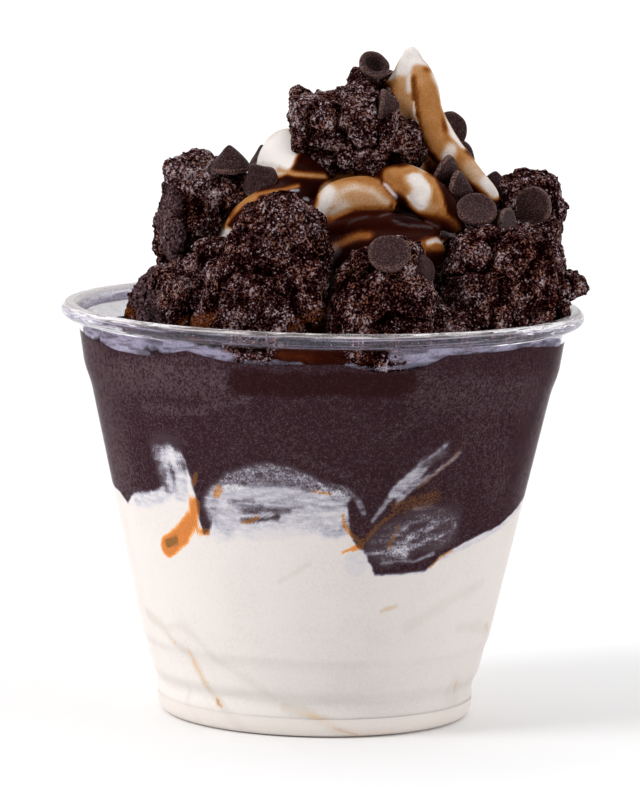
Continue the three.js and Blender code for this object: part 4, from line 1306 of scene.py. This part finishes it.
def scatterCrumbs(chunks, material):   # loose crumbs that cling to the chunks
    rng = np.random.default_rng(7)
    spots = np.concatenate([placesOf(chunk.data) for chunk in chunks])
    spots = spots[rng.choice(len(spots), brownie["crumbs"], replace=False)]
    low, high = brownie["crumbSizes"]
    least, more = brownie["crumbStretch"]
    whole = bmesh.new()
    handful = bpy.data.meshes.new("handful")
    for first in range(0, len(spots), 100):   # a hundred at a time, which is much quicker
        bm = bmesh.new()
        for spot in spots[first:first + 100]:
            size = low + (high - low) * rng.random() ** 2
            turn = Matrix.Rotation(rng.random() * 6.28, 4, Vector(rng.normal(size=3)))
            shape = Matrix.Diagonal((*(size * (least + more * rng.random(3))), 1))
            place = Matrix.Translation(spot) @ turn @ shape
            bmesh.ops.create_icosphere(bm, subdivisions=1, radius=1, matrix=place)
        bm.to_mesh(handful)
        bm.free()
        whole.from_mesh(handful)
    bpy.data.meshes.remove(handful)
    made = objectFrom(whole, "loose_crumbs")
    paint(made.data, "relief", np.full(len(made.data.vertices), brownie["crumbRelief"]))
    finished(made, material)


brownieCrumb = makeBrownieCrumb()
brownieNodes = sorted(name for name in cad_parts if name.startswith("brownie_"))
chunks = [makeChunk(node, brownieCrumb, 20 * number + 3) for number, node in enumerate(brownieNodes)]
scatterCrumbs(chunks, brownieCrumb)


# chocolate chips

print("chips")

chip = {
    "radius": 3.45,
    "height": 4.6,
    "lip": 0.9,
    "steps": 40,
    # (share of radius, millimetres), (share of radius, share of the lip), (share of radius, of height)
    "base": [(0, 0.1), (0.7, 0.06), (0.9, 0), (0.95, 0.04)],
    "side": [(0.995, 0.3), (1, 0.75), (0.975, 1.2)],
    "cone": [(0.9, 0.33), (0.72, 0.5), (0.5, 0.68), (0.31, 0.83), (0.17, 0.93), (0.07, 0.985), (0, 1)],
    # the same for the one that is hollow
    "hollow": [(0, 0.5), (0.4, 0.47), (0.52, 0.42)],
    "hollowBase": [(0.62, 0.15), (0.66, 0), (0.95, 0.04)],
    "hollowChip": "ring",
    "look": {"Roughness": 0.4, "Specular IOR Level": 0.05},
    "uneven": (0.12, 1.8),   # depth and width
    "edgeWidth": 0.12,       # share of the radius
    "grain": 0.28,
    "mottle": 0.5,
    "bump": (0.07, 0.6),
    "colours": [(0.35, (0.030, 0.0125, 0.0125)), (0.65, (0.052, 0.025, 0.026))],
    "dark": (0.015, 0.005, 0.005),
    "bloom": (0.12, 0.078, 0.08),
    "edge": (0.17, 0.10, 0.085),
    # base middle, tip direction, scale
    "places": {
        "ring": ((8.2, -3.6, 115.2), (-0.35, 0.65, -0.68), 0.82),
        "peak_side": ((9, -10.8, 108.8), (1, 0.05, -0.1), 0.76),
        "left_upright": ((-16.6, -6.6, 96.2), (-0.05, -0.15, 1), 1),
        "left_lying": ((-10.8, -9, 94), (-0.45, -0.45, 0.8), 1),
        "behind_shoulder": ((-10.6, 3, 96.2), (-0.2, 0.2, 0.9), 0.85),
        "right_high": ((22.1, 0.5, 103.7), (-0.5, 0.8, -0.2), 0.92),
        "right_middle": ((24, 0.5, 98.9), (-0.7, 0.6, -0.3), 0.95),
        "right_low": ((29.4, 1, 92.2), (0.1, -0.2, 1), 0.95),
        "fold_high": ((19.9, -10.6, 97.6), (0.8, -0.3, -0.4), 0.85),
        "fold_low": ((21.8, -13.8, 94.9), (0.9, -0.2, -0.2), 0.85),
        "disc": ((26.2, -18.6, 91.8), (-0.1, 0.66, -0.74), 1.02),
        "sliver": ((31.8, -17, 88.9), (-0.85, 0.5, 0), 0.8),
        "right_brownie": ((36, -6, 91), (0.45, 0.88, -0.1), 1.02),
        "front_disc": ((11, -35.4, 85.6), (0.05, 0.77, -0.64), 1.05),
        "front_cone": ((15.6, -31, 81.7), (0.25, -0.8, 0.5), 0.95),
        "back_left": ((-8, 21.5, 88.5), (-0.4, 0.5, 0.75), 1),
        "back_middle": ((11.5, 20.5, 90), (0.2, 0.8, 0.55), 0.95),
        "back_right": ((24.5, 14, 89.5), (0.5, 0.5, 0.7), 1),
        "back_low": ((13.4, 31.8, 79.8), (0.3, 0.6, 0.7), 0.9),
        "back_high": ((9.5, 12.5, 101.5), (0, 0.85, 0.5), 0.95),
        "left_back": ((-21, 8.5, 89.5), (-0.5, 0.4, 0.75), 0.95),
    },
}


def makeChipChocolate():
    material, tree, shader, place = newMaterial("chipChocolate", chip["look"])
    grain = grainOutputs(place, chip["grain"])
    fine = grain["Fine"]
    mottle = grainOutputs(place, chip["mottle"])["Fine"]
    colour = addRamp(grain["Cloud"], chip["colours"])
    colour = addMix(addRange(mottle, 0.35, 0.6, 0.6, 0.0), colour, chip["dark"])
    colour = addMix(addRange(fine, 0.52, 0.72, 0.0, 0.7), colour, chip["bloom"])
    edge = times(addAttribute(tree, "edge"), addRange(fine, 0.4, 0.6))
    fill(shader, "Base Color", addMix(edge, colour, chip["edge"]))
    fill(shader, "Normal", addBump(fine, *chip["bump"]))
    return material


def makeChip(name, place, tip, scale, material, seed):
    radius, height, lip = (chip[key] * scale for key in ("radius", "height", "lip"))

    def sized(key, high):
        return [(radius * across, high * up) for across, up in chip[key]]

    base = sized("base", 1)
    if name == chip["hollowChip"]:
        base = sized("hollow", height) + sized("hollowBase", 1)
    bm = spunFrom(base + sized("side", lip) + sized("cone", height), chip["steps"])
    bmesh.ops.subdivide_edges(bm, edges=bm.edges, cuts=1, use_grid_fill=True)
    rest = np.array([tuple(vert.co) for vert in bm.verts])
    lean = Vector((0, 0, 1)).rotation_difference(Vector(tip)).to_matrix().to_4x4()
    bmesh.ops.transform(bm, matrix=Matrix.Translation(Vector(place)) @ lean, verts=bm.verts)
    made = objectFrom(bm, "drop_" + name)
    places = placesOf(made.data)
    uneven = sumOfSwells(places, [(*chip["uneven"], seed)])
    moveTo(made.data, places + normalsOf(made.data) * uneven[:, None])
    fromRim = (np.hypot(rest[:, 0], rest[:, 1]) - radius) / (chip["edgeWidth"] * radius)
    paint(made.data, "edge", np.exp(-fromRim ** 2) * (rest[:, 2] < lip))
    finished(made, material, ["chip_" + name])


chipChocolate = makeChipChocolate()
for number, (name, (place, tip, scale)) in enumerate(chip["places"].items()):
    makeChip(name, place, tip, scale, chipChocolate, 300 + number)
